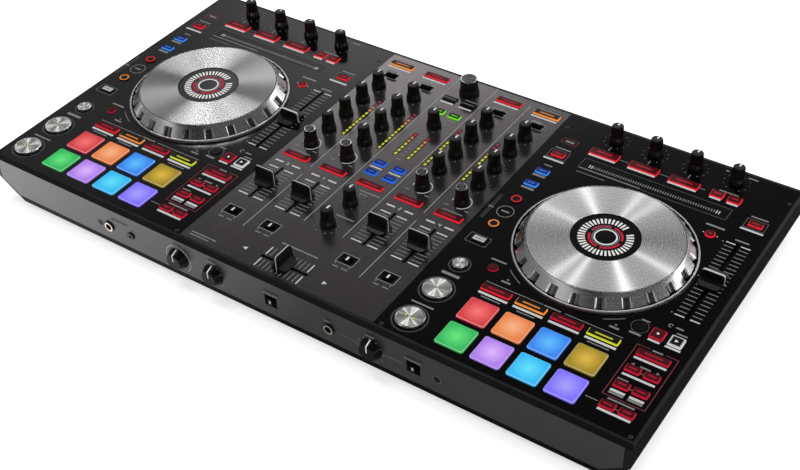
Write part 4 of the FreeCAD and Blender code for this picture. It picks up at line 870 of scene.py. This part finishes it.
def print_right_keys(layer):
    """The keys in front of the tempo fader, with the red outline around the loop keys."""
    for x, w, ink in ((65.5, 10.0, "grey_ink"), (81.4, 10.0, "white_ink"), (97.2, 13.0, "white_ink")):
        layer.bar(x, 103.0, w, 2.0, ink)
    layer.ring(65.5, 112.0, 6.8, 7.3, "dim_ink", 8.0)
    layer.bar(89.5, 35.5, 35.0, 0.6, "red_ink")
    for x in (77.5, 101.5):
        layer.bar(x, 94.0, 11.0, 0.6, "red_ink")
    for x in (72.2, 106.8):
        layer.bar(x, 64.7, 0.6, 58.0, "red_ink")
    layer.bar(89.4, 93.6, 8.6, WORD)
    for y in (80.5, 60.8, 20.5):
        layer.bar(89.2, y, 27.0, 2.2, "white_ink")
    layer.bar(LOOP_COLUMN, 73.5, 8.6, WORD)
    for side in (-1, 1):
        layer.arrow(LOOP_COLUMN + side * 10.5, 73.5, 1.3, 1.5, 1.2, side)
    layer.bar(79.5, 55.0, 9.0, 1.2)
    for x in (81.5, 97.0):
        layer.bar(x, 42.0, 12.0, 2.4, "white_ink")
        layer.bar(x, 39.2, 12.0, 2.2)
    layer.bar(LOOP_COLUMN, 33.0, 22.0, 1.6)
    for y in (67.4, 48.9, 25.9):
        layer.bar(89.1, y, 2.4, 0.6)
    layer.bar(68.0, 26.6, 10.0, LINE)


def print_touch_strip(layer):
    """The outline of the strip and its ticks, the two at each end longer."""
    layer.frame(-0.5, 272.2, 142.5, 16.0, 0.5, "dim_ink")
    layer.bar(-40.3, 265.4, 60.0, 1.0)
    layer.bar(-56.0, 259.2, 28.0, 1.3, "dim_ink")
    for i in range(-26, 27):
        height, ink = (4.2, "white_ink") if abs(i) > 24 else (3.2, "grey_ink")
        layer.bar(2.4 * i, 270.8, 1.0, height, ink)


# The mixer's channels from left to right, and its rows
CHANNELS = {3: -83.0, 1: -41.5, 2: 41.5, 4: 83.0}
ASSIGN_ROW = 55.0
ASSIGN_WINDOW = (16.5, 11.5)
ASSIGN_HOLE = (14.1, 9.1)
SELECTOR_ROW = 299.0
KNOB_ROWS = (195.4, 222.8, 250.2, 277.6)


def print_channel(layer, number, x):
    layer.bar(x, 313.0, 27.0, 2.0, "white_ink")
    layer.bar(x, 326.2, 22.0, 1.0)
    digit(layer, x, 132.2, number)
    layer.arc(x, 168.0, 8.5, 9.4, -90, 190, "white_ink")
    for y in KNOB_ROWS:
        dots(layer, x, y, 10.4)
    (w, h), (hole_w, hole_h) = ASSIGN_WINDOW, ASSIGN_HOLE
    layer.frame(x, ASSIGN_ROW, w + 0.9, h + 0.9, 0.45, "line_ink")
    layer.frame(x, SELECTOR_ROW, 14.9, 9.9, 0.45, "line_ink")
    for side in (-1, 1):
        layer.bar(x + side * 9.5, 132.2, 9.0, 1.7, "white_ink")
        scale(layer, x + side * 8.5, 78.8, 11, 4.4, 10.6, (0, 10), 1.3)
        layer.bar(x + side * 10.5, 159.0, 4.6, 1.2)
        # The black sheet between the assign switch's hole and the line around it
        layer.bar(x, ASSIGN_ROW + side * (h + hole_h) / 4, w - 0.6, (h - hole_h) / 2 - 0.1, "black_ink")
        layer.bar(x + side * (w + hole_w) / 4, ASSIGN_ROW, (w - hole_w) / 2 - 0.1, hole_h, "black_ink")
        layer.bar(x + side * 7.2, 47.2, 1.4, 1.4)
        layer.bar(x + side * 4.6, 43.6, 6.0, 1.1)
    if number in (3, 4):
        layer.bar(x, 152.6, 20.0, 1.2)


def print_mixer(layer):
    """The middle of the mixer, its dividing lines and the crossfader's scales."""
    for side in (-1, 1):
        layer.bar(side * 62.2, 85.0, LINE, 84.0, "line_ink")
        layer.bar(side * 62.2, 232.0, LINE, 186.0, "line_ink")
        layer.bar(side * 21.0, 205.0, LINE, 258.0, "line_ink")
        layer.bar(side * 10.3, 169.4, 13.0, WORD, "white_ink")
        layer.bar(side * 10.3, 288.2, 14.0, 2.0, "white_ink")
        layer.bar(side * 10.3, 301.0, 14.0, 1.2)
        layer.bar(side * 10.3, 264.6, 10.0, 1.0)
        layer.arrow(side * 42.0, 22.0, 1.8, 2.4, 2.0, side, "white_ink")
    for y in (14.0, 30.0):
        scale(layer, -22.0, y, 11, 4.4, 10.0, (0, 10), along_x=True)
    layer.bar(0.0, 43.4, 38.0, WORD)
    for y in (119.6, 81.0, 250.2):
        dots(layer, 0.0, y, 10.4)
    for i in range(6):
        layer.bar(0.0, 197.0 + 6.0 * i, 3.2, 0.8)
    for x, y, w, h in ((0.0, 190.4, 6.0, 1.2), (7.5, 97.4, 19.0, WORD), (7.0, 135.6, 22.0, 1.4),
                       (3.0, 131.6, 8.0, 1.2), (-82.0, 14.8, 27.0, 1.2), (-85.0, 11.6, 21.0, 1.2)):
        layer.bar(x, y, w, h)


def light_meters(layer):
    """The lit segments over the level meters' lenses."""
    for _, low, high in islands(NODES["lenses"]):
        x = (low[0] + high[0]) / 2
        length = high[1] - low[1]
        if high[2] > TOP + 0.5 or length < 25 or abs(x) > 100:
            continue
        count, reds, ambers, red = (12, 2, 4, "pink_lamp") if length > 50 else (7, 1, 3, "red_lamp")
        pitch = length / count
        for i in range(count):
            left = count - 1 - i
            lamp_ink = red if left < reds else "amber_lamp" if left < ambers else "lime_lamp"
            layer.pill(x, low[1] + pitch * (i + 0.5), high[0] - low[0] - 1.6, pitch - 1.7, lamp_ink, 0.4)


def print_panels():
    layer = Layer("panel_print", "case", TOP, "deck_sheet")
    for deck_x in DECK_X.values():
        layer.origin = deck_x
        for part in (print_buttons, print_modes, print_wheel, print_left_keys, print_effects, print_tempo,
                     print_right_keys, print_touch_strip):
            part(layer)
    layer.origin = 0.0
    for number, x in CHANNELS.items():
        print_channel(layer, number, x)
    print_mixer(layer)
    light_meters(layer)
    layer.done()


# The height of the knobs' and sockets' middles on the front, and how far the sockets stand out
FRONT_LINE = 26.5
SOCKET_NOSE = 1.4


def print_front():
    """The marks on the front sheet, then the ones that stand as far out as the sockets' noses."""
    layer = Layer("front_print", "case", 0.0, "fascia_sheet", upright=True)
    # Two holes: a black disc in each, painted shade of its inside, with a grey ring around it.
    for x in (-197.0, 165.5):
        layer.disc(x, FRONT_LINE, 3.3, "black_ink", 24)
        layer.ring(x, FRONT_LINE, 3.3, 3.8, step=10.0)
    layer.arc(-103.0, FRONT_LINE, 13.4, 14.2, -50, 230, "white_ink")
    layer.bar(-137.0, 22.0, 26.0, 0.5)
    for x, w in ((-83.0, 12.0), (82.0, 24.0), (123.5, 20.0)):
        layer.bar(x, FRONT_LINE, w, 0.5)
    layer.height = SOCKET_NOSE
    for x in (-186.0, 60.5):
        layer.ring(x, FRONT_LINE, 3.3, 4.7, "nickel", 8.0)
    layer.ring(-159.5, FRONT_LINE, 2.0, 2.6, "line_ink", 12.0)
    for x in (-63.0, 103.0):
        dots(layer, x, FRONT_LINE, 12.6, 0.4, 1.0, "white_ink", 8)
    for x, w in ((-103.0, 10.0), (-63.0, 10.0), (103.0, 9.0)):
        layer.bar(x, 42.0, w, 1.4)
    for x, w in ((-173.0, 20.0), (0.5, 16.0), (60.5, 6.0), (144.0, 16.0)):
        layer.bar(x, 36.5, w, 1.4)
    layer.done()


# Tops of keys, levers, wheels and caps


def print_keys(spots):
    """The dark printed middle of each key, with a brighter bar where its word is."""
    layer = Layer("key_tops", "push_keys", 0.0, "key_plastic", thick=0.07)
    second = 0.05
    for x, y, w, h, top, name in spots:
        layer.height = top
        in_mixer = abs(x) < MIXER_HALF
        on_left = not in_mixer and from_wheel(x) < 0
        if on_left and near(y, *ROUND_ROWS):
            layer.ring(x, y, w / 2 - 2.0, w / 2 - 0.5, "red" if y > 180 else "orange", 8.0)
        elif on_left and near(y, SHIFT_ROW):
            layer.bar(x, y, w - 1.6, h - 2.4, "white")
            layer.bar(x, y, w - 4.0, 1.4)
        elif name == "dark_key":
            if in_mixer:
                layer.bar(x, y, w - 2.0, 0.8)
        elif name == "white":
            layer.bar(x, y, w - 3.4, h - 3.4, "black_ink")
            layer.height = top + second
            layer.arrow(x, y, 1.3, 1.7, 1.5, ink="pale_lamp")
        elif near(y, GRID_ROW):
            layer.bar(x, y, w - 2.4, h - 2.4, "dark_red")
            layer.height = top + second
            layer.disc(x, y, 1.1, "pale_lamp", 16)
        elif abs(w - h) < 1.0 and w < 12:
            layer.disc(x, y, w / 2 - 0.9, "dark_red")
            layer.height = top + second
            layer.disc(x, y, 1.2, "deep_red", 16)
        else:
            w, h, y = w - 1.7, h - 1.7, y + 0.25
            dark = "dark_red" if "red" in name else "dark_blue" if "blue" in name else "black_ink"
            layer.pill(x, y, w, h, dark, 0.7)
            layer.height = top + second
            layer.bar(x, y, w * 0.6, h * 0.24, "deep_red" if name == "red" else name)
    layer.done()


def mark_levers():
    """The light bars on the slide switches' levers: those on top, and the two on the front."""
    upper = Layer("lever_marks", "slide_switches", 0.0, "lever_plastic", thick=0.05)
    front = Layer("switch_marks", "slide_switches", 0.0, "lever_plastic", upright=True)
    for _, low, high in islands(NODES["slide_switches"]):
        x, y, z = (low + high) / 2
        w, h, _ = high - low
        upper.height = high[2]
        if high[2] < TOP:
            front.height = -low[1]
            front.bar(x, z, 1.4, 3.2, "bright_ink")
        elif near(y, ASSIGN_ROW):
            upper.bar(x, y, 1.5, h * 0.55, "bright_ink")
        elif near(y, SELECTOR_ROW):
            upper.bar(x, y, w * 0.7, h * 0.6, "grey_cap")
    upper.done()
    front.done()


def mark_wheel(side):
    """The dark line near the edge of a wheel's top: painted shade along a groove."""
    node = "jog_wheel_" + side
    layer = Layer("jog_groove_shade_" + side, node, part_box(node)[1].z / MM, "wheel_metal", thick=0.03)
    # A black ring: painted shade of the groove.
    layer.ring(DECK_X[side], WHEEL_Y, 66.2, 66.8, "black_ink", 3.0)
    layer.done()


def light_display(side):
    """The display in the middle of a wheel: a ring of marks around a red and a white ring, with a glowing
    painted highlight ring between them.
    """
    x = DECK_X[side]
    layer = Layer("jog_display_" + side, "case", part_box("jog_hubs")[1].z / MM, "hub_plastic", thick=0.08)
    pitch, half = 9.0, 2.3
    for i in range(40):
        angle = pitch * i
        if not 42 < angle < 62:
            layer.arc(x, WHEEL_Y, 17.2, 23.4, angle - half, angle + half, "pale_lamp", half)
    for start, name in ((8, "red_lamp"), (96, "pink_lamp"), (188, "red_lamp"), (276, "red_lamp")):
        layer.arc(x, WHEEL_Y, 12.8, 14.9, start, start + 76, name)
    # A grey ring that glows: a painted highlight.
    layer.ring(x, WHEEL_Y, 10.9, 11.7, "glint")
    layer.ring(x, WHEEL_Y, 8.8, 10.0, "pale_lamp")
    layer.done()


def mark_fader(node, half=0.3, ink="bright_ink"):
    """The light line over the ridge of a fader cap and down its ends."""
    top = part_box(node)[1].z / MM
    x, y, _ = centre(node)
    sideways = node == "crossfader"
    spots = []
    for vertex in NODES[node].data.vertices:
        px, py, pz = to_mm(vertex.co)
        spots.append((abs(py - y) if sideways else abs(px - x), pz))
    flat = max(across for across, z in spots if z > top - 0.02)
    wide = max(across for across, z in spots if z > TOP + 3.0)
    base = min(z for across, z in spots if across > wide - 0.05 and z > TOP) + 0.3
    round_off = wide - flat
    path = [(wide, base)]
    for i in range(7):
        angle = math.radians(15.0 * i)
        path.append((flat + round_off * math.cos(angle), top - round_off * (1 - math.sin(angle))))
    path += [(-across, z) for across, z in reversed(path)]
    mesh = bmesh.new()
    rows = []
    for k, (across, z) in enumerate(path):
        before, after = path[max(0, k - 1)], path[min(len(path) - 1, k + 1)]
        dx, dz = after[0] - before[0], after[1] - before[1]
        length = math.hypot(dx, dz)
        row = []
        for lift, side in ((-0.05, -1), (0.09, -1), (0.09, 1), (-0.05, 1)):
            a, b = across + lift * dz / length, half * side
            px, py = (x + b, y + a) if sideways else (x + a, y + b)
            row.append(mesh.verts.new(place(px, py, z - lift * dx / length)))
        rows.append(row)
    skin(mesh, rows, closed=False)
    finish_piece(node + "_line", mesh, [ink], node)


# Camera, light and floor

# The photograph's camera: its place, its three axes and its lens
CAMERA_PLACE = (0.543816, FRONT_Y - 0.544583, 0.754947)
CAMERA_RIGHT = (0.833129, 0.552080, -0.033215)
CAMERA_DOWN = (0.342147, -0.561646, -0.753319)
CAMERA_AHEAD = (-0.434547, 0.616248, -0.656816)
CAMERA_LENS = 56.57
CAMERA_SHIFT = (-0.0305, -0.0014)

# Each lamp's name, x and y of its direction, run of its longer side, size in metres and power
LAMPS = [
    ("strip_a", (-0.43, 0.0), (0.0, 1.0, 0.0), (1.5, 0.1), 20.0),
    ("strip_b", (-0.25, 0.0), (0.0, 1.0, 0.0), (1.5, 0.1), 18.0),
    ("overhead", (0.19, 0.2), (1.0, -1.0, 0.0), (1.4, 0.2), 24.0),
    ("left_box", (-0.3, 0.27), (0.69, 0.724, 0.0), (4.0, 1.0), 230.0),
    ("side_box", (0.38, 0.57), (0.69, -0.12, 0.0), (1.0, 0.2), 18.0),
]
LAMP_DISTANCE = 4.0

# The band that shiny faces reflect: its brightness along its axis, and more of it on the left
BAND_AXIS = (0.27, 0.0, 0.963)
BAND = ((0.0, 0.3), (0.22, 0.45), (0.3, 1.0), (0.405, 1.0),
        (0.43, 0.16), (0.5, 0.06), (0.6, 0.035), (1.0, 0.03))
BAND_LEFT = (-0.809, -0.588, 0.0)
BAND_SHARES = (0.03, 0.17, 2.7, 0.7)
SOFT_LIGHT = 0.5

PAPER = 0.8
PAPER_IN_METAL = 0.1
PAPER_GLOW = 0.6


def turned(right, up, back):
    return Matrix([right, up, back]).transposed().to_4x4()


def make_camera():
    data = bpy.data.cameras.new("camera")
    data.lens = CAMERA_LENS
    data.sensor_width = 36.0
    data.shift_x, data.shift_y = CAMERA_SHIFT
    data.clip_start = 0.01
    camera = add_to_scene("camera", data)
    turn = turned(Vector(CAMERA_RIGHT), -Vector(CAMERA_DOWN), -Vector(CAMERA_AHEAD))
    camera.matrix_world = Matrix.Translation(CAMERA_PLACE) @ turn
    bpy.context.scene.camera = camera


def make_lamp(name, direction, along, size, power):
    """A far area lamp that shines on the middle of the frame."""
    x, y = direction
    back = Vector((x, y, math.sqrt(1.0 - x * x - y * y)))
    side = Vector(along)
    side = (side - back * side.dot(back)).normalized()
    data = bpy.data.lights.new(name, "AREA")
    data.shape = "RECTANGLE"
    data.size, data.size_y = size
    data.energy = power
    item = add_to_scene(name, data)
    item.matrix_world = Matrix.Translation(back * LAMP_DISTANCE) @ turned(side, back.cross(side), back)
    return item


def make_lamps():
    """All the lamps; the left box lights the left wheel only."""
    items = {row[0]: make_lamp(*row) for row in LAMPS}
    receivers = bpy.data.collections.new("left_box_receivers")
    receivers.objects.link(NODES["jog_wheel_left"])
    items["left_box"].light_linking.receiver_collection = receivers


def make_world():
    """White for the camera, soft light, and a bright band on the left for shiny faces to reflect."""
    world = bpy.data.worlds.new("studio")
    bpy.context.scene.world = world
    world.use_nodes = True
    tree = world.node_tree
    tree.nodes.clear()
    path = add(tree, "LightPath")
    direction = coordinates(tree, "Generated")
    height = vector_maths(tree, "DOT_PRODUCT", direction, BAND_AXIS, "Value")
    ramp = add(tree, "ValToRGB", {"Fac": height})
    elements = ramp.color_ramp.elements
    elements.remove(elements[1])
    for spot, value in BAND:
        element = elements.new(spot) if spot else elements[0]
        element.position = spot
        element.color = rgba(grey(value))
    left = rescale(tree, vector_maths(tree, "DOT_PRODUCT", direction, BAND_LEFT, "Value"), *BAND_SHARES)
    soft = times(tree, path.outputs["Is Diffuse Ray"], SOFT_LIGHT)
    band = times(tree, ramp.outputs[0], left)
    shine = times(tree, path.outputs["Is Glossy Ray"], band)
    seen = maths(tree, "MAXIMUM", path.outputs["Is Camera Ray"], path.outputs["Is Transmission Ray"])
    total = maths(tree, "ADD", maths(tree, "ADD", soft, shine), seen)
    background = add(tree, "Background", {"Color": WHITE, "Strength": total})
    add(tree, "OutputWorld", {0: background.outputs[0]})


def make_floor():
    """Pale paper, dark in reflections but for a bright patch in front on the left."""
    mesh = bmesh.new()
    bmesh.ops.create_grid(mesh, x_segments=1, y_segments=1, size=6.0)
    data = bpy.data.meshes.new("floor")
    mesh.to_mesh(data)
    mesh.free()
    floor = add_to_scene("floor", data)
    material, tree, bsdf = shader("floor_paper", grey(PAPER), 0.9, more={"Emission Color": WHITE})
    path = add(tree, "LightPath")
    glossy = path.outputs["Is Glossy Ray"]
    spot = add(tree, "SeparateXYZ", {0: coordinates(tree)})
    across = rescale(tree, spot.outputs[0], -0.36, 0.02, 2.0, 0.25)
    ahead = rescale(tree, spot.outputs[1], FRONT_Y + 0.03, FRONT_Y - 0.01, 0.0, 1.0)
    gleam = times(tree, glossy, times(tree, across, ahead))
    seen = times(tree, path.outputs["Is Camera Ray"], PAPER_GLOW)
    link(tree, bsdf, {
        "Base Color": mix_colour(tree, glossy, rgba(grey(PAPER)), rgba(grey(PAPER_IN_METAL))),
        "Emission Strength": maths(tree, "ADD", gleam, seen),
    })
    data.materials.append(material)


make_camera()
make_world()
make_floor()
make_lamps()

dress_plain_nodes()
dress_hubs()
dress_lenses()
key_spots = dress_keys()
dress_pads()
dress_buttons()

# From here on the CAD nodes stay as they are.
print_panels()
print_keys(key_spots)
print_front()
mark_levers()
for wheel_side in DECK_X:
    light_display(wheel_side)
    mark_wheel(wheel_side)
for node_name in sorted(NODES):
    # The tempo caps' band is wider than the printed line: it is the printed line with a painted highlight
    # along the ridge.
    if node_name.startswith("tempo_fader"):
        mark_fader(node_name, 0.9, "white_ink")
    elif "fader" in node_name:
        mark_fader(node_name)

bpy.context.scene.view_settings.view_transform = "Standard"
